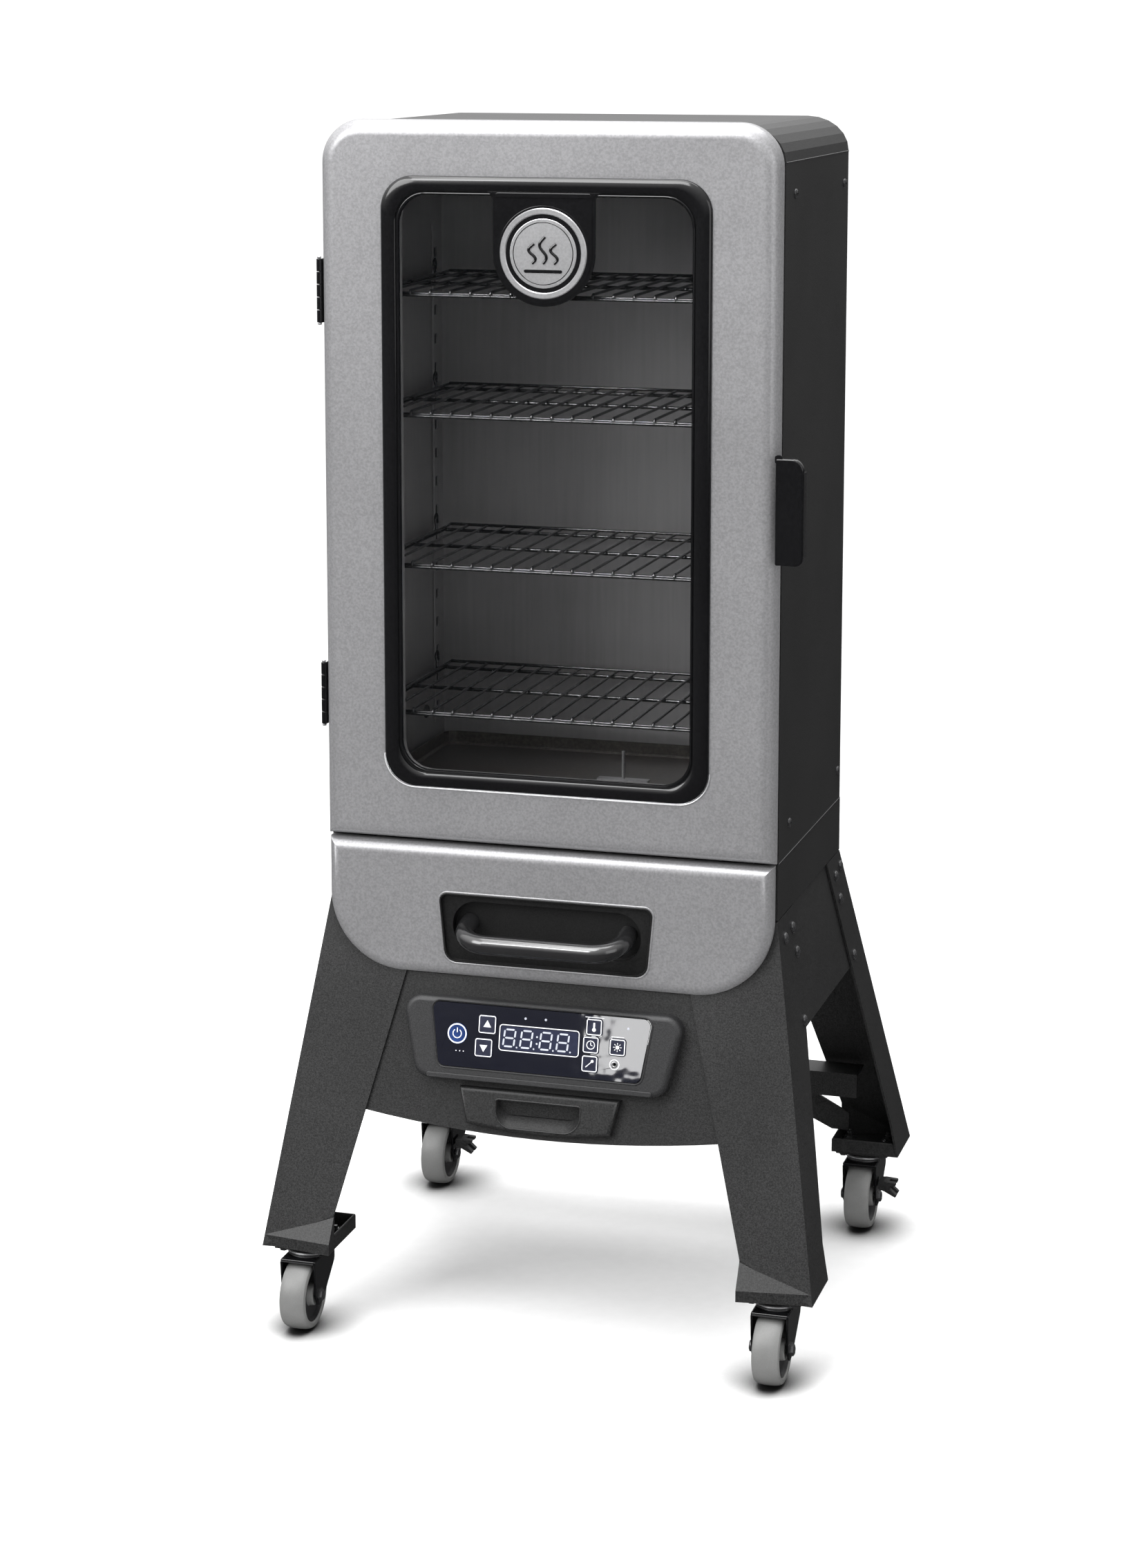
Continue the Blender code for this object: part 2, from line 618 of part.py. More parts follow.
def wedge_mesh():
    """The front foot's slanting facet, from the leg's crease out to an upright lip."""
    outer_x, outer_y = leg_corner(LIP_TOP, False)
    outer_x -= 0.0005
    inner_x = leg_corner(CREASE_Z, False)[0] - LEG_SECTIONS[False][2][1]
    inner_y = leg_corner(CREASE_Z, False)[1]
    behind = LEG_SHEET / 2
    points = [(outer_x, outer_y, LIP_TOP), (inner_x, inner_y + behind, CREASE_Z - 0.0005)]
    points += [(inner_x, inner_y - LIP_REACH, z) for z in (LIP_TOP, FOOT_BOTTOM)]
    points += [(outer_x, outer_y, FOOT_BOTTOM), (outer_x, outer_y + behind, FOOT_BOTTOM),
               (inner_x, inner_y + behind, FOOT_BOTTOM)]
    work = bmesh.new()
    for point in points:
        work.verts.new(point)
    bmesh.ops.convex_hull(work, input=work.verts)
    bmesh.ops.dissolve_limit(work, angle_limit=0.001, verts=work.verts, edges=work.edges)
    return to_mesh(work, "wedge")


def make_leg(name, side, rear):
    wedge = [] if rear else [wedge_mesh()]
    blank = solid("leg_blank", "black_paint", [leg_mesh(rear), *foot_meshes(rear), *wedge])
    mesh = evaluated_mesh(blank)
    bpy.data.objects.remove(blank, do_unlink=True)
    if side < 0:
        mesh.transform(Matrix.Diagonal((-1, 1, 1, 1)))
        mesh.flip_normals()
    return add(name, mesh, None, "black_paint")


def slope_outline(slope, points):
    """Change heights above the slope's origin into distances along the slope."""
    stretch = math.hypot(1, slope)
    return [(u, v * stretch) for u, v in points]


def make_aprons():
    inset = LEG_SHEET + 0.0004 + SHEET / 2
    # Front: cut away at the top for the drawer's recess, bowed at the bottom.
    top, ends, middle = LEG_TOP - PANEL_Z, APRON_ENDS_Z - PANEL_Z, APRON_MIDDLE_Z - PANEL_Z
    notch_half, notch = APRON_NOTCH[0], APRON_NOTCH[1] - PANEL_Z
    bow = [(APRON_HALF * u, ends + (middle - ends) * (1 - u * u)) for u in [i / 8 - 1 for i in range(17)]]
    points = bow + [(APRON_HALF, top), (notch_half, top), (notch_half, notch), (-notch_half, notch),
                    (-notch_half, top), (-APRON_HALF, top)]
    window = trapezoid(0.118, 0.037, 0.108, -0.024, 0.006, 2)
    mesh = plate_mesh(slope_outline(LEG_SLOPE_FRONT, points), SHEET, [window, TRAY_SLOT])
    add("apron_front", mesh, PANEL_FRAME @ Matrix.Translation((0, 0, -inset)), "black_paint")
    # Rear
    rear_origin = (0, LEG_REAR_Y + LEG_SLOPE_REAR * (HOUSING_BOTTOM - PANEL_Z), PANEL_Z)
    frame = slope_frame(rear_origin, -LEG_SLOPE_REAR, -1)
    low = APRON_BOTTOM - PANEL_Z
    points = [(-APRON_HALF, low), (APRON_HALF, low), (APRON_HALF, top), (-APRON_HALF, top)]
    mesh = plate_mesh(slope_outline(LEG_SLOPE_REAR, points), SHEET)
    add("apron_rear", mesh, frame @ Matrix.Translation((0, 0, -inset)), "black_paint")
    # Sides
    margin = 0.0065
    for name, side in (("apron_left", -1), ("apron_right", 1)):
        corners = []
        for z in (APRON_BOTTOM, LEG_TOP):
            front = leg_corner(z, False)[1] + margin
            back = leg_corner(z, True)[1] - margin
            corners.append((z, front, back))
        (z0, f0, b0), (z1, f1, b1) = corners
        points = [(f0, z0 - PANEL_Z), (b0, z0 - PANEL_Z), (b1, z1 - PANEL_Z), (f1, z1 - PANEL_Z)]
        mesh = plate_mesh(slope_outline(LEG_SLOPE_SIDE, points), SHEET)
        lean = Matrix.Rotation(-math.atan(LEG_SLOPE_SIDE), 4, "Y")
        foot_x = HALF + LEG_SLOPE_SIDE * (HOUSING_BOTTOM - PANEL_Z)
        mesh.transform(Matrix.Translation((foot_x, 0, PANEL_Z)) @ lean
                       @ Matrix.Translation((-inset, 0, 0)) @ SIDEWAYS)
        if side < 0:
            mesh.transform(Matrix.Diagonal((-1, 1, 1, 1)))
            mesh.flip_normals()
        add(name, mesh, None, "black_paint")


def make_rear_bracing():
    line = [(BAR_FRONT, BAR_BOTTOM), (BAR_FRONT, BAR_TOP), (BAR_BACK, BAR_TOP)]
    section = thick_line(line[::-1], LEG_SHEET)
    bar = moved(plate_mesh(section, 2 * BAR_HALF), SIDEWAYS)
    braces = []
    for side in (-1, 1):
        points = BRACE if side > 0 else [(-x, z) for x, z in BRACE[::-1]]
        braces.append(moved(plate_mesh(points, 0.003), at_y(BAR_BACK)))
    solid("rear_cross_bar", "black_paint", [bar, *braces])


# Control panel ----------------------------------------------------------------------------
PANEL_ORIGIN = (0, BOX_FRONT_Y - LEG_SLOPE_FRONT * (HOUSING_BOTTOM - PANEL_Z), PANEL_Z)
PANEL_FRAME = slope_frame(PANEL_ORIGIN, LEG_SLOPE_FRONT, 1)


def make_control_panel():
    outline = trapezoid(0.155, 0.0450, 0.1350, -0.0410, 0.018)
    pan = pan_mesh(outline, HOUSING_DEPTH, 0.002, 0.007, 2)
    pan.transform(Matrix.Translation((0, 0, HOUSING_DEPTH / 2 - LEG_SHEET + 0.0003)))
    window = trapezoid(0.1195, 0.0400, 0.1095, -0.0270, 0.008)
    cutter = moved(plate_mesh(window, 0.010), Matrix.Translation((0, 0, HOUSING_DEPTH - LEG_SHEET)))
    solid("control_housing", "black_plastic", [pan], [cutter], PANEL_FRAME)
    face = trapezoid(0.1191, 0.0396, 0.1091, -0.0266, 0.0076)
    holes = [circle(u, v, radius + 0.0004) for _, u, v, radius in ROUND_BUTTONS]
    holes.append(circle(0.0815, -0.0095, 0.0035, 8))
    mesh = plate_mesh(face, FACE_SHEET, holes)
    add("control_face", mesh, PANEL_FRAME @ Matrix.Translation((0, 0, FACE_CENTRE)), "gloss_navy")
    for name, u, v, radius in ROUND_BUTTONS:
        mesh = rod_mesh((0, 0, BUTTON_BOTTOM - BUTTON_TOP), (0, 0, 0), radius, 14)
        material = "button_blue" if name == "button_power" else "button_plastic"
        button = add(name, mesh, PANEL_FRAME @ Matrix.Translation((u, v, BUTTON_TOP)), material)
        shade(button)


# Door -------------------------------------------------------------------------------------
def door_outline(inset=0.0, steps=6):
    bottom = BODY_BOTTOM + 0.002
    return rectangle(-HALF + inset, bottom + inset, HALF - inset, TOTAL_HEIGHT - inset, 0.0, steps,
                     top=0.044 - inset)


def make_door():
    centre_y = DOOR_FACE_Y + DOOR_DEPTH / 2
    pan = moved(pan_mesh(door_outline(), DOOR_DEPTH, SKIN, 0.0165, 4), at_y(centre_y))
    window = moved(plate_mesh(rectangle(*SHELL_OPENING, 0.030), 0.03), at_y(DOOR_FACE_Y))
    shell = shade(solid("door_shell", "silver_paint", [pan], [window]))
    back_y = DOOR_FACE_Y + DOOR_DEPTH - 0.0012
    hole = rectangle(*SHELL_OPENING, 0.030)
    sheet = moved(plate_mesh(door_outline(SKIN + GAP, 4), SKIN, [hole]), at_y(back_y))
    sleeve_outer = rectangle(-0.1595, 0.6035, 0.1595, 1.2105, 0.0315)
    sleeve_inner = rectangle(-0.1575, 0.6055, 0.1575, 1.2085, 0.0295)
    sleeve = moved(plate_mesh(sleeve_outer, 0.0095, [sleeve_inner]), at_y(back_y - 0.0042))
    liner = solid("door_liner", "liner_steel", [sheet, sleeve])
    pane = plate_mesh(rectangle(-0.163, 0.600, 0.163, 1.214, 0.034), 0.004)
    glass = add("door_glass", pane, at_y(DOOR_FACE_Y + SKIN + GAP + 0.002), "glass")
    seal_outer = door_outline(0.007, 4)
    seal_inner = door_outline(0.017, 4)
    seal_y = (DOOR_FACE_Y + DOOR_DEPTH + BOX_FRONT_Y) / 2
    seal_depth = BOX_FRONT_Y - DOOR_FACE_Y - DOOR_DEPTH - 2 * GAP
    seal = plate_mesh(seal_outer, seal_depth, [seal_inner])
    gasket = add("door_gasket", seal, at_y(seal_y), "silicone")
    bezel = make_bezel()
    return [shell, liner, glass, gasket, bezel]


def make_bezel():
    left, bottom, right, top = GLASS_OPENING
    r, tab = 0.030, BADGE_TAB_RADIUS
    outline = [*arc((left + r, bottom + r), r, 180, 270, 4),
               *arc((right - r, bottom + r), r, 270, 360, 4),
               *arc((right - r, top - r), r, 0, 90, 4)]
    outline += [(tab + 0.008, top), (tab, top - 0.008)]
    outline += arc((0, BADGE_Z), tab, 0, -180, 12)
    outline += [(-tab, top - 0.008), (-tab - 0.008, top)]
    outline += arc((left + r, top - r), r, 90, 180, 4)
    mesh = plate_mesh(rectangle(*BEZEL_OUTLINE, 0.034, 5), 0.003, [outline[:-1]])
    return add("window_bezel", mesh, at_y(DOOR_FACE_Y - GAP - 0.0015), "gloss_black")


# Latch ------------------------------------------------------------------------------------
def make_latch():
    """A draw latch: the lever turns on the door's edge and pulls a wire bail onto a keeper."""
    centre_z = (LATCH_LOW + LATCH_HIGH) / 2
    half = (LATCH_HIGH - LATCH_LOW) / 2
    near, far = LATCH_FACE
    corners = ((near, -half), (far, -half), (far, half), (near, half))
    front_y = LATCH_FRONT_Y
    cover = moved(plate_mesh(rounded(corners, (0.0, 0.007, 0.012, 0.0), 4), 0.0016), at_y(front_y))
    cover.transform(Matrix.Translation((0, 0, centre_z)))
    flange = box_mesh((far - 0.0018, front_y, LATCH_LOW + 0.0085),
                      (far, front_y + 0.014, LATCH_HIGH - 0.0140))
    ribs = []
    for z in (centre_z - 0.018, centre_z + 0.018):
        ribs.append(box_mesh((HALF + 0.0015, front_y, z - 0.002), (0.2600, -0.1868, z + 0.002)))
    pin = rod_mesh((*LATCH_AXIS, centre_z - 0.022), (*LATCH_AXIS, centre_z + 0.022), 0.0022, 8)
    handle = solid("latch_handle", "black_paint", [cover, flange, *ribs, pin])
    wire, tip_y, reach = BAIL_WIRE, BAIL_TIP_Y, BAIL_REACH
    bail_x, root_y = BAIL_AXIS
    path = [(bail_x, root_y - 0.0005, centre_z - reach), (bail_x, tip_y, centre_z - reach),
            (bail_x, tip_y, centre_z + reach), (bail_x, root_y - 0.0005, centre_z + reach)]
    pivot = rod_mesh((bail_x, root_y, centre_z - 0.0155), (bail_x, root_y, centre_z + 0.0155), wire, 8)
    bail = solid("latch_bail", "chrome_wire", [tube_mesh(path, wire), pivot])
    base = box_mesh((HALF + 0.0004, -0.172, centre_z - 0.020),
                    (HALF + 0.0024, -0.146, centre_z + 0.020))
    hook = box_mesh((HALF + 0.0014, -0.160, centre_z - 0.009),
                    (HALF + 0.0094, -0.1575, centre_z + 0.009))
    solid("latch_keeper", "zinc_steel", [base, hook])
    return handle, bail


# Drawer and grease tray -------------------------------------------------------------------
def make_drawer():
    half, top = DRAWER_HALF, BODY_BOTTOM - 0.0005
    corners = ((-half, DRAWER_BOTTOM), (half, DRAWER_BOTTOM), (half, top), (-half, top))
    outline = rounded(corners, (DRAWER_CORNER, DRAWER_CORNER, 0.0, 0.0), 7)
    pan = pan_mesh(outline, DRAWER_DEPTH, SKIN, 0.013, 3)
    pan.transform(at_y(DOOR_FACE_Y + DRAWER_DEPTH / 2))
    window = moved(plate_mesh(trapezoid(*HANDLE_WINDOW, 0.009), 0.03), at_y(DOOR_FACE_Y))
    behind = moved(box_mesh((-0.3, -0.3, -0.20), (0.3, 0.3, 0.0004)), PANEL_FRAME)
    front = shade(solid("drawer_front", "silver_paint", [pan], [window, behind]))
    # Handle: a black recessed cup with a tube across it.
    flange_y = DOOR_FACE_Y - GAP - SKIN / 2
    flange = moved(plate_mesh(trapezoid(*HANDLE_FLANGE, 0.012), SKIN), at_y(flange_y))
    body = moved(plate_mesh(trapezoid(*HANDLE_BODY, 0.0085), CUP_DEPTH), at_y(flange_y + CUP_DEPTH / 2))
    pocket = moved(plate_mesh(trapezoid(*HANDLE_POCKET, 0.0070), CUP_DEPTH),
                   at_y(flange_y - 0.0021 + CUP_DEPTH / 2))
    handle = solid("drawer_handle", "gloss_black", [flange, body], [pocket])
    boolean(handle, "UNION", handle_bar())
    shade(handle)
    # Tray
    tray = pan_mesh(rectangle(*TRAY_OUTLINE, 0.004, 1), TRAY_HEIGHT, SKIN, 0.0, 1)
    tray.transform(Matrix.Translation((0, 0, TRAY_FLOOR + TRAY_HEIGHT / 2)) @ Matrix.Diagonal((1, 1, -1, 1)))
    tray.flip_normals()
    tray_item = add("drawer_tray", tray, None, "liner_steel")
    return front, handle, tray_item


def handle_bar():
    reach, back, front, bend = BAR_REACH, DOOR_FACE_Y + 0.0175, DOOR_FACE_Y - BAR_OUT, BAR_BEND
    path = [(-reach, back)]
    for side, start in ((-1, 180), (1, 270)):
        path += [(side * (reach - bend) + bend * u, front + bend + bend * v)
                 for u, v in arc((0, 0), 1, start, start + 90, 4)]
    path.append((reach, back))
    slope = BAR_DROP / (back - front)
    return tube_mesh([(x, y, BAR_LEVEL - slope * (back - y)) for x, y in path], BAR_RADIUS, 10)


def make_grease_tray():
    """A shallow drawer in the apron: a formed front with a finger pull and a long trough."""
    outline = [*arc_bottom(GREASE_HALF_LOW, GREASE_LOW, 0.006), (GREASE_HALF_TOP, GREASE_TOP),
               (-GREASE_HALF_TOP, GREASE_TOP)]
    middle = GREASE_DEPTH / 2 - LEG_SHEET + 0.0003
    front = moved(plate_mesh(outline, GREASE_DEPTH), Matrix.Translation((0, 0, middle)))
    depth = GREASE_DEPTH - FINGER_FLOOR
    pocket = moved(plate_mesh(finger_outline(0.0), depth),
                   Matrix.Translation((0, 0, FINGER_FLOOR + depth / 2)))
    body = moved(plate_mesh(finger_outline(FINGER_WALL), -FINGER_FLOOR),
                 Matrix.Translation((0, 0, FINGER_FLOOR / 2 - FINGER_WALL)))
    for mesh in (front, body, pocket):
        mesh.transform(PANEL_FRAME)
    trough, hollow = box_mesh(*TROUGH), box_mesh(*TROUGH_HOLLOW)
    return solid("grease_tray", "black_paint", [front, body, trough], [pocket, hollow])


def finger_outline(margin):
    half, low, high = FINGER[0] + margin, FINGER[1] - margin, FINGER[2] + margin
    corners = ((-half, low), (half, low), (half, high), (-half, high))
    return rounded(corners, (0.018 + margin, 0.018 + margin, 0.002, 0.002), 4)


def arc_bottom(half, v, bow):
    return [(half * u, v - bow * (1 - u * u)) for u in (-1.0, -0.6, -0.2, 0.2, 0.6, 1.0)]


# Racks ------------------------------------------------------------------------------------
def rack_mesh():
    """A grate of front-to-back wires between three cross wires."""
    pitch = 2 * (RACK_HALF - WIRE / 2) / (RACK_WIRES - 1)
    half_wire = WIRE / 2
    middle_y = (RACK_FRONT_Y + RACK_BACK_Y) / 2
    holes = []
    spans = ((RACK_FRONT_Y + WIRE, middle_y - half_wire), (middle_y + half_wire, RACK_BACK_Y - WIRE))
    for low, high in spans:
        for i in range(RACK_WIRES - 1):
            x = -RACK_HALF + half_wire + pitch * i
            holes.append(rectangle(x + half_wire, low, x + pitch - half_wire, high))
    outline = rectangle(-RACK_HALF, RACK_FRONT_Y, RACK_HALF, RACK_BACK_Y)
    return plate_mesh(outline, WIRE, holes)


def make_racks():
    mesh = rack_mesh()
    return [add(f"rack_{i}", mesh, Matrix.Translation((0, 0, level)), "chrome_wire")
            for i, level in enumerate(RACK_LEVELS, start=1)]


# Casters ----------------------------------------------------------------------------------
def wheel_mesh():
    """A turned wheel about X with a hollow on each side, a flat of its rim on the floor."""
    half = WHEEL_WIDTH / 2
    rim = WHEEL_RADIUS / math.cos(math.pi / WHEEL_SEGMENTS)
    outer = [(0.0042, half), (0.0110, half), (0.0120, 0.007), (0.0285, 0.007), (0.0300, half),
             (rim - 0.003, half), (rim, half - 0.004)]
    profile = outer + [(r, -h) for r, h in outer[::-1]]
    mesh = bpy.data.meshes.new("wheel")
    work = bmesh.new()
    verts = [work.verts.new((r, 0, h)) for r, h in profile]
    for i, vert in enumerate(verts):
        work.edges.new((vert, verts[(i + 1) % len(verts)]))
    work.to_mesh(mesh)
    work.free()
    item = add("wheel_profile", mesh)
    screw = item.modifiers.new("turn", "SCREW")
    screw.steps = WHEEL_SEGMENTS
    screw.render_steps = WHEEL_SEGMENTS
    screw.use_merge_vertices = True
    screw.merge_threshold = 1e-5
    screw.use_normal_calculate = True
    result = evaluated_mesh(item)
    bpy.data.objects.remove(item, do_unlink=True)
    flat_down = Matrix.Rotation(math.pi / WHEEL_SEGMENTS, 4, "Z")
    result.transform(Matrix.Rotation(math.pi / 2, 4, "Y") @ flat_down)
    work = bmesh.new()
    work.from_mesh(result)
    bmesh.ops.recalc_face_normals(work, faces=work.faces)
    work.to_mesh(result)
    work.free()
    result.materials.clear()
    return result


def fork_mesh():
    """Swivel race, crown, two tapered cheeks and the axle, about the swivel axis."""
    axle_y, axle_z = -CASTER_TRAIL, WHEEL_RADIUS
    near, far, low, high = CROWN
    race = rod_mesh((0, 0, high - 0.0006), (0, 0, RACE_GAP_BOTTOM), 0.0235, 16)
    crown = box_mesh((-0.0190, near, low), (0.0190, far, high))
    tuck = 0.0012
    cheek = rounded(((near + tuck, high - tuck), (axle_y - 0.0130, axle_z + 0.004),
                     (axle_y - 0.0060, axle_z - 0.0115), (axle_y + 0.0080, axle_z - 0.0090),
                     (far - tuck, 0.0620), (far - tuck, high - tuck)),
                    (0.0, 0.006, 0.006, 0.006, 0.008, 0.0), 2)
    cheeks = [moved(plate_mesh(cheek, 0.002), Matrix.Translation((x, 0, 0)) @ SIDEWAYS)
              for x in (-0.0185, 0.0185)]
    axle = rod_mesh((-0.0225, axle_y, axle_z), (0.0225, axle_y, axle_z), 0.0038, 10)
    heads = [rod_mesh((side * 0.0188, axle_y, axle_z), (side * 0.0235, axle_y, axle_z), 0.0068, 8)
             for side in (-1, 1)]
    blank = solid("fork_blank", "black_paint", [race, crown, *cheeks, axle, *heads])
    mesh = evaluated_mesh(blank)
    bpy.data.objects.remove(blank, do_unlink=True)
    mesh.materials.clear()
    return mesh


def brake_mesh():
    """A rocker with an upper and a lower tab, about its own pivot along Y."""
    outline = [(-0.0025, -0.0040), (0.0045, -0.0060), (0.0175, -0.0125), (0.0190, -0.0100),
               (0.0085, -0.0015), (0.0175, 0.0015), (0.0175, 0.0045), (0.0040, 0.0055),
               (-0.0025, 0.0045)]
    return moved(plate_mesh(outline, 0.020), FRONTAL)


def make_casters():
    fork, wheel, brake = fork_mesh(), wheel_mesh(), brake_mesh()
    for end, y in (("front", SWIVEL_FRONT_Y), ("rear", SWIVEL_REAR_Y)):
        for side, x in (("left", -SWIVEL_X), ("right", SWIVEL_X)):
            add(f"caster_fork_{end}_{side}", fork, Matrix.Translation((x, y, 0)), "black_paint")
            place = Matrix.Translation((x, y - CASTER_TRAIL, WHEEL_RADIUS))
            shade(add(f"caster_wheel_{end}_{side}", wheel, place, "grey_tyre"))
            if end == "rear":
                place = Matrix.Translation((x + 0.0235, y - CASTER_TRAIL, 0.0535))
                add(f"caster_brake_{side}", brake, place, "black_paint")


def on_axis(name, point, item):
    """Hang a moving piece from an empty on its joint's axis."""
    empty = bpy.data.objects.new(name, None)
    empty.location = point
    PARTS.objects.link(empty)
    bpy.context.view_layer.update()
    world = item.matrix_world.copy()
    item.parent = empty
    item.matrix_parent_inverse = Matrix.Translation(-Vector(point))
    item.matrix_world = world
    return item


def main():
    make_roof()
    make_side("side_panel_left", -1)
    make_side("side_panel_right", 1)
    make_back()
    make_liner()
    make_lower_housing()
    make_heating_element()
    make_water_pan()
    make_sensor()
    make_rack_rail("rack_rail_left", -1)
    make_rack_rail("rack_rail_right", 1)
    make_vent_damper("vent_damper_left", -1)
    make_vent_damper("vent_damper_right", 1)
    make_hinge("hinge_upper", 1.071, 1.137)
    make_hinge("hinge_lower", 0.648, 0.714)
    make_cord_gland()
    for end, rear in (("front", False), ("rear", True)):
        for side, sign in (("left", -1), ("right", 1)):
            make_leg(f"leg_{end}_{side}", sign, rear)
    make_aprons()
    make_rear_bracing()
    make_control_panel()
    hinge = (*HINGE_AXIS, (BODY_BOTTOM + TOTAL_HEIGHT) / 2)
    for item in make_door():
        on_axis(item.name + "_axis", hinge, item)
    latch_z = (LATCH_LOW + LATCH_HIGH) / 2
    handle, bail = make_latch()
    on_axis("latch_handle_axis", (*LATCH_AXIS, latch_z), handle)
    on_axis("latch_bail_axis", (*BAIL_AXIS, latch_z), bail)
    make_drawer()
    make_grease_tray()
    make_racks()
    make_casters()


main()
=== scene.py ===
"""Looks of the electric cabinet smoker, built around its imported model.

Metres, +Z up, the door faces -Y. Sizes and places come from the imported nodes' boxes.
"""
import json
import math

import bmesh
import bpy
from mathutils import Matrix, Vector

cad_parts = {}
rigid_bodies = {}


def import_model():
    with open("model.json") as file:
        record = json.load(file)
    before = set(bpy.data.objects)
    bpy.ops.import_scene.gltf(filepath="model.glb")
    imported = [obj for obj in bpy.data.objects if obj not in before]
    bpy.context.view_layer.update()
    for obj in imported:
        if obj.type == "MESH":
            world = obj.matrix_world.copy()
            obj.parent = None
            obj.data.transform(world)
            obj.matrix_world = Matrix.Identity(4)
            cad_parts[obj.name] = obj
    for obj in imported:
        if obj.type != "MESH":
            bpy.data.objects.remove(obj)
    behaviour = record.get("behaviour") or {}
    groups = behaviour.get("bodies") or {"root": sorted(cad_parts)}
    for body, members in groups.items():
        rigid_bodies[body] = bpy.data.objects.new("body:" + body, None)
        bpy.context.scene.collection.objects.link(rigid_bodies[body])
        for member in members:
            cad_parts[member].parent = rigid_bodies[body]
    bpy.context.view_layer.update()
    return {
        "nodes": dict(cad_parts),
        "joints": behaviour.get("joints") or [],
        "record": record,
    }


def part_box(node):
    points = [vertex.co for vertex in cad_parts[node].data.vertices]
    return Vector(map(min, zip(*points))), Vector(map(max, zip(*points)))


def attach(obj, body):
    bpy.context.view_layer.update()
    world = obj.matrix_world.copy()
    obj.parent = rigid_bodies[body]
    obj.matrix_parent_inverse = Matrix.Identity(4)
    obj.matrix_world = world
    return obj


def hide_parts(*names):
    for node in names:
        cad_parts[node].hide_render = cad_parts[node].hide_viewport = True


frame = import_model()
FRONTAL = Matrix.Rotation(math.radians(90), 4, "X")          # local XY becomes world XZ
SIDEWAYS = Matrix(((0, 0, 1, 0), (1, 0, 0, 0), (0, 1, 0, 0), (0, 0, 0, 1)))   # XY becomes YZ
ACROSS = Matrix.Rotation(math.pi / 2, 4, "Y")               # local Z becomes world X
ORIGIN = Matrix.Identity(4)
FORWARD = (0, -1, 0)


def shift(x=0.0, y=0.0, z=0.0):
    return Matrix.Translation((x, y, z))


# Places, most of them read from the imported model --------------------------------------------
def middle(node):
    low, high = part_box(node)
    return (low + high) / 2


def joint(name):
    return next(j for j in frame["joints"] if j["name"] == name)


DOOR_LOW, DOOR_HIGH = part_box("door_shell")
HALF = DOOR_HIGH.x
FACE_Y = DOOR_LOW.y
SIDE_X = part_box("side_panel_right")[1].x
SEAM_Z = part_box("roof_panel")[0].z
BACK_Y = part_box("back_panel")[1].y
HOUSING_Z = 0.4685            # top of the legs' slopes
LEG_SLOPE = 0.151             # outward run of the legs' sides for each metre of drop
REAR_SLOPE = 0.41
BADGE_Z = 1.148
BADGE_RADIUS = 0.0535
WINDOW_TOP = 1.209
RIM_HIGHLIGHT_TOP = 0.624              # the painted highlight line along the bezel's lower edge runs up to here
VENT_X, VENT_Z = 0.12, 1.182
VENT_SCREWS = 0.0275          # radius of the ring of screws round a vent
CHAMBER_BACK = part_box("chamber_liner")[1].y - 0.0012

PANEL_OUT = -Vector(joint("press_power")["axis"]).normalized()
PANEL_UP = PANEL_OUT.cross(Vector((1, 0, 0)))
PANEL_FRAME = Matrix((Vector((1, 0, 0)), PANEL_UP, PANEL_OUT)).transposed().to_4x4()
PANEL_FRAME.translation = middle("button_power") - PANEL_FRAME @ Vector((-0.09, 0.008, 0.01215))
FACE_W = 0.0139               # front of the gloss face above the panel's origin
WIRE = 0.0015                 # radius of the racks' and the latch's wires
WORLD_LIGHT = 1.15


# Materials ----------------------------------------------------------------------------------
def shader_node(tree, kind, **values):
    """A new node with its properties or, where the name is a socket's, its inputs set."""
    node = tree.nodes.new(kind)
    for key, value in values.items():
        if key in node.inputs:
            node.inputs[key].default_value = value
        else:
            setattr(node, key, value)
    return node


def scaled(colour, factor):
    return (*[min(1.0, c * factor) for c in colour], 1.0)


def ramp(tree, source, low, high, start=0.35, end=0.65):
    node = shader_node(tree, "ShaderNodeValToRGB")
    for element, place, colour in zip(node.color_ramp.elements, (start, end), (low, high)):
        element.position = place
        element.color = colour
    tree.links.new(source, node.inputs["Fac"])
    return node.outputs["Color"]


def map_range(tree, source, low, high, start=0.0, end=1.0):
    """The source's run from start to end, as a run from low to high."""
    limits = {"From Min": start, "From Max": end, "To Min": low, "To Max": high}
    node = shader_node(tree, "ShaderNodeMapRange", **limits)
    tree.links.new(source, node.inputs["Value"])
    return node.outputs["Result"]


def multiplied(tree, one, two):
    """The product of two colours."""
    node = shader_node(tree, "ShaderNodeMix", data_type="RGBA", blend_type="MULTIPLY", Factor=1.0)
    tree.links.new(one, node.inputs["A"])
    tree.links.new(two, node.inputs["B"])
    return node.outputs["Result"]


MATERIALS = {}


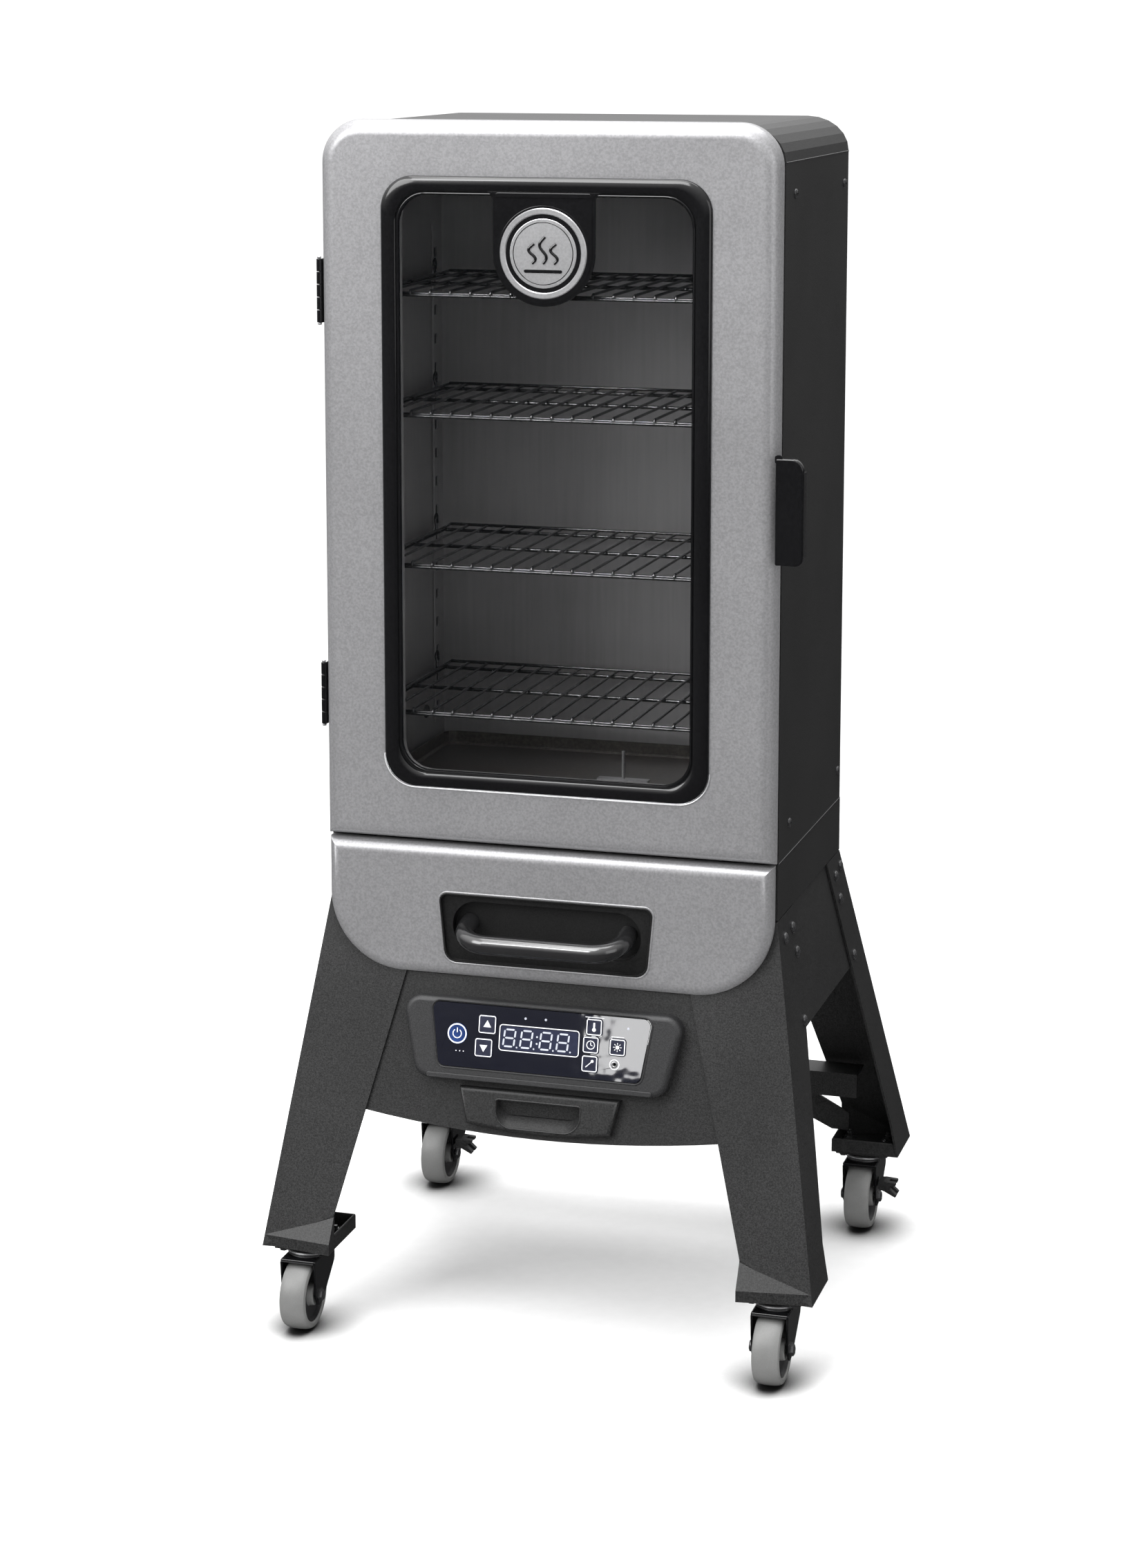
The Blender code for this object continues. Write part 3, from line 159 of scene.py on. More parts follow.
def finish_of(name, colour, roughness, metallic=0.0, speck=0.1, grain=600.0, mottle=0.06, patch=7.0,
              bump=0.1, stretch=(1, 1, 1), spread=0.06, **sockets):
    """Add a surface with fine grain, slow mottling, uneven gloss and a little relief."""
    material = bpy.data.materials.new(name)
    material.use_nodes = True
    tree = material.node_tree
    link = tree.links.new
    shader = tree.nodes["Principled BSDF"]
    shader.inputs["Metallic"].default_value = metallic
    for socket, value in sockets.items():
        shader.inputs[socket.replace("_", " ")].default_value = value
    place = shader_node(tree, "ShaderNodeTexCoord")
    mapping = shader_node(tree, "ShaderNodeMapping", Scale=stretch)
    link(place.outputs["Object"], mapping.inputs["Vector"])
    fine = shader_node(tree, "ShaderNodeTexNoise", Scale=grain, Detail=2.0, Roughness=0.6)
    slow = shader_node(tree, "ShaderNodeTexNoise", Scale=patch, Detail=3.0, Roughness=0.55)
    link(mapping.outputs["Vector"], fine.inputs["Vector"])
    link(place.outputs["Object"], slow.inputs["Vector"])
    grains = ramp(tree, fine.outputs["Fac"], scaled(colour, 1 - speck), scaled(colour, 1 + speck))
    clouds = ramp(tree, slow.outputs["Fac"], scaled((1, 1, 1), 1 - mottle), (1, 1, 1, 1), 0.3, 0.7)
    link(multiplied(tree, grains, clouds), shader.inputs["Base Color"])
    gloss = map_range(tree, slow.outputs["Fac"], max(0.02, roughness - spread), roughness + spread)
    link(gloss, shader.inputs["Roughness"])
    if bump:
        relief = shader_node(tree, "ShaderNodeBump", Strength=bump, Distance=0.0006)
        link(fine.outputs["Fac"], relief.inputs["Height"])
        link(relief.outputs["Normal"], shader.inputs["Normal"])
    MATERIALS[name] = material
    return material


def haze_pane(material):
    """Make a material a clear pane with a faint uneven haze."""
    tree = material.node_tree
    haze = shader_node(tree, "ShaderNodeTexNoise", Scale=6.0, Detail=4.0)
    amount = map_range(tree, haze.outputs["Fac"], 0.05, 0.11)
    tree.links.new(amount, tree.nodes["Principled BSDF"].inputs["Alpha"])


# The finishes of the slots
finish_of("silver_paint", (0.262, 0.261, 0.268), 0.35, 0.5, speck=0.12, grain=420, mottle=0.07, patch=5)
finish_of("black_paint", (0.0155, 0.0155, 0.0157), 0.48, speck=0.5, grain=620, mottle=0.25, patch=6,
          bump=0.2, Specular_IOR_Level=0.35)
finish_of("liner_steel", (0.36, 0.355, 0.36), 0.4, 0.7, speck=0.03, grain=220, mottle=0.2, patch=4,
          bump=0.02, stretch=(1, 1, 0.04), spread=0.08)
finish_of("gloss_black", (0.004, 0.004, 0.0045), 0.12, speck=0.2, grain=300, mottle=0.2, bump=0.015,
          spread=0.04)
finish_of("gloss_navy", (0.0025, 0.003, 0.008), 0.03, speck=0.0, grain=26, mottle=0.15, bump=0.45,
          spread=0.02)
haze_pane(finish_of("glass", (0.01, 0.011, 0.012), 0.05, speck=0.05, grain=40, mottle=0.1, patch=5,
                    bump=0.0, spread=0.03, IOR=1.5))
finish_of("silicone", (0.03, 0.03, 0.03), 0.75, speck=0.2, bump=0.2)
finish_of("chrome_wire", (0.16, 0.16, 0.165), 0.22, 0.9, mottle=0.35, patch=30, bump=0.05, spread=0.1)
finish_of("zinc_steel", (0.46, 0.46, 0.47), 0.34, 0.9, speck=0.12, mottle=0.25, patch=40, bump=0.06,
          spread=0.08)
finish_of("grey_tyre", (0.155, 0.156, 0.153), 0.45, speck=0.05, grain=900, mottle=0.22, patch=24,
          bump=0.05, spread=0.1)
finish_of("pan_enamel", (0.048, 0.042, 0.037), 0.34, 0.3, speck=0.3, grain=260, mottle=0.4, patch=14,
          bump=0.12)
finish_of("black_plastic", (0.02, 0.02, 0.021), 0.46, speck=0.3, grain=800, mottle=0.12, bump=0.18,
          Specular_IOR_Level=0.4)
finish_of("button_plastic", (0.02, 0.022, 0.04), 0.14, speck=0.12, grain=120, mottle=0.3, patch=60,
          bump=0.03)
finish_of("button_blue", (0.012, 0.035, 0.14), 0.12, speck=0.15, grain=120, mottle=0.3, patch=60,
          bump=0.02)

# Finishes of single pieces
finish_of("soft_black", (0.008, 0.008, 0.0082), 0.42, speck=0.3, grain=620, mottle=0.2,
          Specular_IOR_Level=0.3)
finish_of("tube_black", (0.012, 0.012, 0.0125), 0.16, speck=0.0, grain=300, mottle=0.1, patch=40,
          bump=0.02, Specular_IOR_Level=0.9)
PRINT = finish_of("panel_print", (0.8, 0.81, 0.84), 0.35, speck=0.04, grain=300, mottle=0.05, bump=0.02)
SEGMENT = finish_of("display_segment", (0.46, 0.48, 0.54), 0.3, speck=0.06, grain=300, mottle=0.1,
                    bump=0.02)
DISPLAY = finish_of("display_window", (0.016, 0.019, 0.04), 0.1, grain=150, mottle=0.1, bump=0.01)
BADGE_METAL = finish_of("badge_metal", (0.52, 0.52, 0.53), 0.3, 0.8, speck=0.08, grain=500, mottle=0.1,
                        bump=0.05)
RACK_WIRE = finish_of("rack_wire", (0.045, 0.045, 0.047), 0.18, 0.85, mottle=0.35, patch=30, bump=0.03)
# near-black finish for the strip behind the rails' slots: painted shadow in the slots
PAINTED_SLOT_SHADOW = finish_of("painted_slot_shadow", (0.004, 0.004, 0.004), 0.8, speck=0.2, mottle=0.1, bump=0.05)
SCREW = finish_of("screw_black", (0.06, 0.06, 0.062), 0.2, 0.6, speck=0.2, grain=300, mottle=0.2,
                  bump=0.04)
FLOOR = finish_of("floor_pale", (0.89, 0.89, 0.89), 0.65, speck=0.01, grain=60, mottle=0.015, patch=0.7,
                  bump=0.0)


# Mesh helpers -------------------------------------------------------------------------------
def to_mesh(work, name="made"):
    mesh = bpy.data.meshes.new(name)
    work.to_mesh(mesh)
    work.free()
    return mesh


def moved(mesh, matrix):
    mesh.transform(matrix)
    if matrix.determinant() < 0:
        mesh.flip_normals()
    return mesh


def evaluated(item):
    """The object's mesh with its modifiers applied; the object is removed."""
    bpy.context.view_layer.update()
    mesh = bpy.data.meshes.new_from_object(item.evaluated_get(bpy.context.evaluated_depsgraph_get()))
    bpy.data.objects.remove(item, do_unlink=True)
    mesh.materials.clear()
    return mesh


def placed(name, data):
    item = bpy.data.objects.new(name, data)
    bpy.context.scene.collection.objects.link(item)
    return item


def bench(data):
    return placed("bench", data)


def weld(mesh, flatten=False):
    work = bmesh.new()
    work.from_mesh(mesh)
    bmesh.ops.remove_doubles(work, verts=work.verts, dist=1e-6)
    if flatten:
        bmesh.ops.dissolve_limit(work, angle_limit=0.001, verts=work.verts, edges=work.edges)
    work.to_mesh(mesh)
    work.free()
    return mesh


def plate(outline, thickness, holes=(), z=0.0):
    """A flat sheet in the XY plane, centred on z."""
    curve = bpy.data.curves.new("outline", "CURVE")
    curve.dimensions = "2D"
    curve.fill_mode = "BOTH"
    curve.extrude = thickness / 2
    for loop in (outline, *holes):
        spline = curve.splines.new("POLY")
        spline.points.add(len(loop) - 1)
        for point, (u, v) in zip(spline.points, loop):
            point.co = (u, v, 0.0, 1.0)
        spline.use_cyclic_u = True
    mesh = weld(evaluated(bench(curve)), flatten=not holes)
    return moved(mesh, shift(z=z))


def tube(points, radius, sides=12, closed=False):
    curve = bpy.data.curves.new("path", "CURVE")
    curve.dimensions = "3D"
    curve.bevel_depth = radius
    curve.bevel_resolution = sides // 2 - 2
    curve.use_fill_caps = not closed
    spline = curve.splines.new("POLY")
    spline.points.add(len(points) - 1)
    for point, place in zip(spline.points, points):
        point.co = (*place, 1.0)
    spline.use_cyclic_u = closed
    return weld(evaluated(bench(curve)))


def block(low, high):
    work = bmesh.new()
    centre = [(a + b) / 2 for a, b in zip(low, high)]
    size = [abs(b - a) for a, b in zip(low, high)]
    bmesh.ops.create_cube(work, size=1.0, matrix=Matrix.Translation(centre) @ Matrix.Diagonal((*size, 1.0)))
    return to_mesh(work)


def towards(start, end):
    """A frame at start whose Z runs to end."""
    along = Vector(end) - Vector(start)
    return Matrix.Translation(start) @ along.to_track_quat("Z", "Y").to_matrix().to_4x4()


def lathe(profile, place, segments=32):
    """A turned solid: (radius, height) pairs from one end of the local Z axis to the other."""
    work = bmesh.new()
    rings = []
    for radius, height in profile:
        if radius < 1e-7:
            rings.append([work.verts.new((0, 0, height))])
        else:
            rings.append([work.verts.new((radius * math.cos(a), radius * math.sin(a), height))
                          for a in (2 * math.pi * i / segments for i in range(segments))])
    for one, two in zip(rings, rings[1:]):
        for i in range(segments):
            j = (i + 1) % segments
            if len(one) == 1 and len(two) > 1:
                work.faces.new((one[0], two[j], two[i]))
            elif len(two) == 1 and len(one) > 1:
                work.faces.new((one[i], one[j], two[0]))
            elif len(one) > 1:
                work.faces.new((one[i], one[j], two[j], two[i]))
    if len(rings[0]) > 1 and len(rings[-1]) > 1 and Vector(profile[0]) != Vector(profile[-1]):
        work.faces.new(rings[0][::-1])
        work.faces.new(rings[-1])
    bmesh.ops.remove_doubles(work, verts=work.verts, dist=1e-7)
    bmesh.ops.recalc_face_normals(work, faces=work.faces)
    return moved(to_mesh(work), place)


def turned(profile, place, segments):
    """A turned ring: the profile, closed on itself, never meets the axis."""
    return lathe([*profile, profile[0]], place, segments)


def rod(start, end, radius, segments=20, edge=0.0):
    """A cylinder from start to end, with its rims rounded by the edge."""
    length = (Vector(end) - Vector(start)).length
    if edge:
        foot = arc((radius - edge, edge), edge, -90, 0, 3)
        profile = [(0, 0), *foot, *[(r, length - h) for r, h in foot[::-1]], (0, length)]
    else:
        profile = [(0, 0), (radius, 0), (radius, length), (0, length)]
    return lathe(profile, towards(start, end), segments)


def ring_sweep(loops):
    """Quads between closed loops of equal length, the last joined to the first."""
    work = bmesh.new()
    rings = [[work.verts.new(p) for p in loop] for loop in loops]
    for one, two in zip(rings, rings[1:] + rings[:1]):
        for i in range(len(one)):
            j = (i + 1) % len(one)
            work.faces.new((one[i], one[j], two[j], two[i]))
    bmesh.ops.recalc_face_normals(work, faces=work.faces)
    return to_mesh(work)


def joined(*meshes):
    """One mesh that holds several bodies."""
    work = bmesh.new()
    for mesh in meshes:
        work.from_mesh(mesh)
    return to_mesh(work)


def combine(first, operation, *others):
    item = bench(first)
    for other in others:
        tool = bench(other)
        modifier = item.modifiers.new("cut", "BOOLEAN")
        modifier.operation = operation
        modifier.object = tool
    result = evaluated(item)
    for tool in [o for o in bpy.context.scene.objects if o.name.startswith("bench")]:
        bpy.data.objects.remove(tool, do_unlink=True)
    return result


def softened(mesh, width, segments=2, angle=35):
    """The mesh with its sharp edges rounded."""
    item = bench(mesh)
    bevel = item.modifiers.new("edges", "BEVEL")
    bevel.width = width
    bevel.segments = segments
    bevel.limit_method = "ANGLE"
    bevel.angle_limit = math.radians(angle)
    bevel.use_clamp_overlap = True
    return evaluated(item)


def piece(name, mesh, material, body, replaced=None, angle=35):
    """A finished piece, smooth but for its sharp edges, that rides on a body and may replace a node."""
    item = placed(name, mesh)
    mesh.materials.clear()
    mesh.materials.append(MATERIALS[material] if isinstance(material, str) else material)
    mesh.shade_smooth()
    mesh.set_sharp_from_angle(angle=math.radians(angle))
    weighted = item.modifiers.new("normals", "WEIGHTED_NORMAL")
    weighted.keep_sharp = True
    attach(item, body)
    if replaced:
        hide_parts(replaced)
    return item


# Outlines -----------------------------------------------------------------------------------
def arc(centre, radius, start, end, steps):
    angles = [math.radians(start + (end - start) * i / steps) for i in range(steps + 1)]
    return [(centre[0] + radius * math.cos(a), centre[1] + radius * math.sin(a)) for a in angles]


def rounded(corners, radii, steps=10):
    """A closed outline with each corner rounded to its radius."""
    points = []
    for i, (corner, radius) in enumerate(zip(corners, radii)):
        if radius == 0:
            points.append(corner)
            continue
        here = Vector(corner)
        back = (Vector(corners[i - 1]) - here).normalized()
        ahead = (Vector(corners[(i + 1) % len(corners)]) - here).normalized()
        half = back.angle(ahead) / 2
        centre = here + (back + ahead).normalized() * radius / math.sin(half)
        first = here + back * radius / math.tan(half) - centre
        last = here + ahead * radius / math.tan(half) - centre
        turn = first.angle_signed(last)
        points += [tuple(centre + Matrix.Rotation(-turn * k / steps, 2) @ first) for k in range(steps + 1)]
    return points


def rectangle(low_u, low_v, high_u, high_v, low_radius, high_radius=None, steps=10):
    top = low_radius if high_radius is None else high_radius
    corners = ((low_u, low_v), (high_u, low_v), (high_u, high_v), (low_u, high_v))
    return rounded(corners, (low_radius, low_radius, top, top), steps)


def trapezoid(top_half, top_v, low_half, low_v, radius, steps=8):
    corners = ((-low_half, low_v), (low_half, low_v), (top_half, top_v), (-top_half, top_v))
    return rounded(corners, (radius,) * 4, steps)


def circle(u, v, radius, steps=32):
    return arc((u, v), radius, 0, 360 * (steps - 1) / steps, steps - 1)


def at_y(y):
    return shift(y=y) @ FRONTAL


def pan(outline, depth, wall, rim, steps=8):
    """A pressed pan, open behind, whose face at local +Z has its edges rounded to the rim."""
    mesh = plate(outline, depth)
    work = bmesh.new()
    work.from_mesh(mesh)
    edges = [e for e in work.edges if all(abs(v.co.z - depth / 2) < 1e-6 for v in e.verts)]
    bmesh.ops.bevel(work, geom=edges, offset=rim, segments=steps, profile=0.5, affect="EDGES")
    backs = [f for f in work.faces if all(abs(v.co.z + depth / 2) < 1e-6 for v in f.verts)]
    bmesh.ops.delete(work, geom=backs, context="FACES_ONLY")
    item = bench(to_mesh(work))
    shell = item.modifiers.new("shell", "SOLIDIFY")
    shell.thickness = wall
    shell.offset = -1.0
    shell.use_even_offset = True
    return evaluated(item)


# Cabinet ------------------------------------------------------------------------------------
SHEET_NODES = ("roof_panel", "side_panel_left", "side_panel_right", "back_panel", "lower_housing",
               "leg_front_left", "leg_front_right", "leg_rear_left", "leg_rear_right", "apron_front",
               "apron_left", "apron_right", "apron_rear", "rear_cross_bar", "chamber_liner",
               "drawer_tray", "door_liner")


def dress_cad_nodes():
    """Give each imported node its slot's material, and round the sheets' raw edges."""
    slots = {row["node"]: row["material_slot"] for row in frame["record"]["subparts"]}
    for name, node in frame["nodes"].items():
        node.data.materials.clear()
        node.data.materials.append(MATERIALS["zinc_steel" if name == "temperature_sensor" else slots[name]])
        for polygon in node.data.polygons:
            polygon.material_index = 0
    for name in SHEET_NODES:
        node = frame["nodes"][name]
        bevel = node.modifiers.new("edges", "BEVEL")
        bevel.width = 0.0009 if name.startswith("leg") else 0.0005
        bevel.segments = 2
        bevel.limit_method = "ANGLE"
        bevel.angle_limit = math.radians(30)
        bevel.harden_normals = False
        node.modifiers.new("normals", "WEIGHTED_NORMAL").keep_sharp = True


def facing(point, direction):
    return towards(point, Vector(point) + Vector(direction))


def screw_head(place, radius=0.0042):
    """A pan head with a cross recess."""
    head = lathe([(0, 0), (radius, 0), (radius, 0.0007), (radius * 0.86, 0.0017), (radius * 0.5, 0.0024),
                  (0, 0.0026)], ORIGIN, 20)
    arms = [block((-a, -b, 0.0016), (a, b, 0.004)) for a, b in ((radius * 0.55, radius * 0.14),
                                                               (radius * 0.14, radius * 0.55))]
    return moved(combine(head, "DIFFERENCE", *arms), place)


def dome_head(place, radius=0.0075):
    """A round carriage head on a thin washer."""
    turn = [math.radians(a) for a in (0, 18, 36, 54, 72, 90)]
    dome = [(radius * math.cos(a), 0.001 + radius * 0.5 * math.sin(a)) for a in turn]
    return lathe([(0, 0), (radius * 1.18, 0), (radius * 1.18, 0.001), *dome], place, 28)


def hex_bolt(place, size=0.0055):
    """A hexagon head with a turned chamfer on two washers."""
    washers = [lathe([(0, low), (radius, low), (radius, low + 0.0008), (radius - 0.0004, low + 0.0012),
                      (0, low + 0.0012)], ORIGIN, 24)
               for low, radius in ((0, size * 1.75), (0.0012, size * 1.35))]
    head = softened(lathe([(0, 0.0022), (size, 0.0022), (size, 0.0068), (0, 0.0068)], ORIGIN, 6),
                    0.0006, 2, 40)
    stud = rod((0, 0, 0.006), (0, 0, 0.0098), size * 0.5, 16, 0.0005)
    return moved(joined(*washers, head, stud), place)


def make_fasteners():
    """Screws of the panels, and the bolts that hold the legs."""
    heads = []
    for sign in (-1, 1):
        for y, z in ((-0.1335, 1.208), (0.1055, 1.207), (0.1115, 0.562), (-0.1305, 0.561)):
            heads.append(screw_head(facing((sign * SIDE_X, y, z), (sign, 0, 0)), 0.005))
    back = [(x, z) for x in (-0.225, 0.225) for z in (0.545, 0.76, 0.99, 1.215)]
    back += [(x, z) for x in (-0.085, 0.085) for z in (0.545, 1.262)]
    back += [(x, 0.51) for x in (-0.2, 0.0, 0.2)]
    heads += [screw_head(facing((x, BACK_Y, z), (0, 1, 0))) for x, z in back]
    piece("panel_screws", joined(*heads), SCREW, "cabinet")
    # thin rods along the side seams mark the sheet edges there; their bright chrome is a painted highlight
    # for the light those edges catch
    seams = [rod((sign * (SIDE_X + 0.0001), -0.178, z), (sign * (SIDE_X + 0.0001), 0.1265, z), 0.0006, 10)
             for sign in (-1, 1) for z in (SEAM_Z - 0.0003, 0.5283)]
    piece("seam_highlight_rods", joined(*seams), "chrome_wire", "cabinet")
    bolts = []
    sides = ((-0.1235, 0.448), (-0.1585, 0.446), (-0.1185, 0.421), (-0.1275, 0.35),
             (0.1211, 0.452), (0.0942, 0.447), (0.101, 0.42), (0.1292, 0.349))
    for sign in (-1, 1):
        for y, z in sides:
            x = HALF + LEG_SLOPE * (HOUSING_Z - z)
            bolts.append(dome_head(facing((sign * x, y, z), (sign, 0, LEG_SLOPE)), 0.0056))
        for x, z in ((0.178, 0.444), (0.205, 0.41), (0.2, 0.36)):
            y = 0.1287 + REAR_SLOPE * (HOUSING_Z - z)
            bolts.append(dome_head(facing((sign * x, y, z), (0, 1, REAR_SLOPE)), 0.0056))
    piece("leg_bolts", joined(*bolts), SCREW, "cabinet")


# Door ---------------------------------------------------------------------------------------
def make_door():
    low, high = DOOR_LOW, DOOR_HIGH
    outline = rectangle(low.x, low.z, high.x, high.z, 0.0, 0.044, 16)
    pressed = moved(pan(outline, high.y - low.y, 0.0012, 0.0165, 10), at_y((high.y + low.y) / 2))
    window = moved(plate(rectangle(-0.158, 0.605, 0.158, WINDOW_TOP, 0.03), 0.03), at_y(FACE_Y))
    piece("door_pressing", combine(pressed, "DIFFERENCE", window), "silver_paint", "door",
          replaced="door_shell")


def band_loop(inset, height):
    """One line of the bezel's moulding, from its outer edge towards the pane."""
    t = inset / 0.02
    loop = rectangle(-0.174 + inset, 0.59 + 0.95 * inset, 0.174 - inset, 1.224 - 0.95 * inset,
                     0.034 - 0.004 * t, None, 12)
    return [(u, FACE_Y - 0.0003 - height, v) for u, v in loop]


def make_bezel():
    moulding = ((0, 0), (0.0002, 0.0012), (0.001, 0.0024), (0.0026, 0.0036), (0.0055, 0.0046),
                (0.009, 0.005), (0.0125, 0.0047), (0.0148, 0.004), (0.016, 0.0031), (0.0163, 0.0018),
                (0.0174, 0.0016), (0.0178, 0.0027), (0.0184, 0.003), (0.0193, 0.0028), (0.02, 0.0018),
                (0.0202, 0.0))
    band = ring_sweep([band_loop(inset, height) for inset, height in moulding])
    tab = badge_tab(0.0)
    raised = badge_tab(0.0028)
    body = softened(plate(tab, 0.003), 0.0012, 3)
    lip = softened(plate(raised, 0.0012), 0.0006, 2)
    parts = [moved(body, at_y(FACE_Y - 0.0018)), moved(lip, at_y(FACE_Y - 0.0036))]
    bar = softened(plate(rectangle(-0.05, 1.2035, 0.05, 1.2085, 0.0024), 0.0016), 0.0007, 3)
    parts.append(moved(bar, at_y(FACE_Y - 0.0046)))
    piece("bezel_moulding", joined(band, *parts), "gloss_black", "door", replaced="window_bezel")
    # a thin rim just outside the bezel's lower edge, in zinc brighter than the door's silver paint: the
    # door's pressed edge, with a painted highlight line on it
    loop = band_loop(-0.0011, 0.0)
    first = next(i for i, point in enumerate(loop) if point[2] > RIM_HIGHLIGHT_TOP)
    edge = [(u, FACE_Y - 0.0002, v) for u, _, v in loop[first:] + loop[:first] if v < RIM_HIGHLIGHT_TOP]
    piece("bezel_edge", tube(edge, 0.001, 8), "zinc_steel", "door")
    make_medallion()


def badge_tab(inset):
    """The round tab below the bezel's top band, with fillets where they meet."""
    radius = BADGE_RADIUS - inset
    fillet = 0.009
    level = WINDOW_TOP - fillet
    right = arc((radius + fillet, level), fillet, 90, 180, 6)
    bottom = arc((0, BADGE_Z), radius, 0, -180, 40)
    left = arc((-radius - fillet, level), fillet, 0, 90, 6)
    return (right + bottom + left)[::-1]


def turned_ring(place, low, high, height, segments=64):
    """A flat ring with rounded shoulders between two radii."""
    edge = min(height, (high - low) / 3)
    profile = [(low, 0.0), (low, height - edge), (low + edge, height), (high - edge, height),
               (high, height - edge), (high, 0.0)]
    return turned(profile, place, segments)


def make_medallion():
    """A plain round plate: a ring, a bright disc, and three rising wisps over a line."""
    place = facing((0, FACE_Y - 0.0042, BADGE_Z), FORWARD)
    disc = lathe([(0, 0.0), (0.035, 0.0), (0.035, 0.0008), (0.0344, 0.0012), (0, 0.0012)], place, 64)
    ring = turned_ring(place, 0.039, 0.0462, 0.0014, 72)
    piece("badge_plate", joined(disc, ring), BADGE_METAL, "door")
    back = lathe([(0, 0.0), (0.048, 0.0), (0.048, 0.0003), (0.0474, 0.0005), (0, 0.0005)], place, 72)
    front = FACE_Y - 0.0056
    wisps = []
    for across, height in ((-0.0115, 0.02), (0.0, 0.027), (0.0115, 0.02)):
        path = [(across + 0.0036 * math.sin(2.2 * math.pi * i / 28), front,
                 BADGE_Z - 0.01 + height * i / 28) for i in range(29)]
        wisps.append(tube(path, 0.0015, 10))
    line = softened(plate(rectangle(-0.02, -0.0195, 0.02, -0.016, 0.0017), 0.0012), 0.0004, 2)
    wisps.append(moved(line, at_y(front) @ shift(y=BADGE_Z)))
    wisps.append(turned_ring(place, 0.0308, 0.0318, 0.0015, 64))
    piece("badge_relief", joined(back, *wisps), "gloss_black", "door")


def make_hinges():
    axis_x, axis_y = -HALF - 0.0034, -0.1915
    for name in ("hinge_lower", "hinge_upper"):
        low, high = (corner.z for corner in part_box(name))
        span = (high - low) / 5
        knuckles = []
        for i in range(5):
            foot, head = low + i * span + 0.0003, low + (i + 1) * span - 0.0003
            knuckles.append(rod((axis_x, axis_y, foot), (axis_x, axis_y, head), 0.0029, 24, 0.0004))
        leaf = softened(block((-HALF - 0.0018, axis_y, low), (-HALF - 0.0004, -0.15, high)), 0.0004)
        web = block((axis_x, axis_y - 0.0016, low), (-HALF - 0.0006, axis_y + 0.0004, high))
        piece(name + "_knuckles", joined(*knuckles, leaf, softened(web, 0.0003)), "gloss_black", "cabinet",
              replaced=name)
        pins = [rod((axis_x, axis_y, z), (axis_x, axis_y, z + s * 0.0022), 0.0021, 20, 0.0007)
                for z, s in ((low, -1), (high, 1))]
        screws = [screw_head(facing((-HALF - 0.0018, -0.166, low + t * (high - low)), (-1, 0, 0)), 0.0034)
                  for t in (0.2, 0.5, 0.8)]
        piece(name + "_pins", joined(*pins, *screws), "zinc_steel", "cabinet")


# Latch --------------------------------------------------------------------------------------
def make_latch():
    low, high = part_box("latch_handle")
    centre_z = (low.z + high.z) / 2
    half = (high.z - low.z) / 2
    front = low.y
    corners = ((0.2407, -half), (0.2695, -half), (0.2695, half), (0.2407, half))
    outline = rounded(corners, (0.002, 0.008, 0.0125, 0.002), 10)
    shell = moved(pan(outline, 0.0052, 0.0014, 0.0022, 5), at_y(front + 0.0026))
    shell.transform(shift(z=centre_z))
    flange = block((0.2679, front + 0.001, low.z + 0.0085), (0.2697, front + 0.0148, high.z - 0.0135))
    ear = softened(plate(rectangle(0.24, half - 0.006, 0.248, half + 0.0035, 0.003), 0.0014), 0.0005)
    ear.transform(at_y(front + 0.0012))
    ear.transform(shift(z=centre_z))
    ribs = [softened(block((HALF + 0.0015, front + 0.002, z - 0.002), (0.26, -0.1868, z + 0.002)), 0.0006)
            for z in (centre_z - 0.018, centre_z + 0.018)]
    axis_x, axis_y, _ = joint("latch_lever_pivot")["pos_m"]
    pin = rod((axis_x, axis_y, centre_z - 0.0225), (axis_x, axis_y, centre_z + 0.0225), 0.0021, 20, 0.0005)
    piece("latch_cover", joined(shell, softened(flange, 0.0006), ear, *ribs, pin), "gloss_black",
          "latch_lever", "latch_handle")
    make_latch_wire(centre_z)
    make_keeper(centre_z)


def make_latch_wire(centre_z):
    """The bail: a wire loop with rounded corners, held in a small cross pin."""
    x, root = 0.2535, -0.1925
    tip, reach, bend = -0.163, 0.014, 0.0045
    low, high = centre_z - reach, centre_z + reach
    line = [(root, low), *arc((tip - bend, low + bend), bend, -90, 0, 6),
            *arc((tip - bend, high - bend), bend, 0, 90, 6), (root, high)]
    loop = tube([(x, y, z) for y, z in line], WIRE, 14)
    pivot = rod((x, root, centre_z - 0.0155), (x, root, centre_z + 0.0155), 0.0019, 18, 0.0005)
    piece("latch_loop", joined(loop, pivot), "chrome_wire", "latch_wire", replaced="latch_bail")


def make_keeper(centre_z):
    base = block((SIDE_X + 0.0003, -0.172, centre_z - 0.02), (SIDE_X + 0.0024, -0.146, centre_z + 0.02))
    profile = [(0.0, -0.158), (0.0, -0.161), (0.007, -0.161), (0.0092, -0.16), (0.0092, -0.1572),
               (0.0072, -0.1566), (0.0066, -0.158)]
    hook = plate([(SIDE_X + 0.0012 + u, v) for u, v in profile], 0.018)
    hook.transform(shift(z=centre_z))
    screws = [screw_head(facing((SIDE_X + 0.0024, -0.151, centre_z + s * 0.0135), (1, 0, 0)), 0.0032)
              for s in (-1, 1)]
    piece("latch_hook", joined(softened(base, 0.0007, 3), softened(hook, 0.0005), *screws), "zinc_steel",
          "cabinet", replaced="latch_keeper")


# Drawer -------------------------------------------------------------------------------------
def panel_block(low, high):
    return moved(block(low, high), PANEL_FRAME)


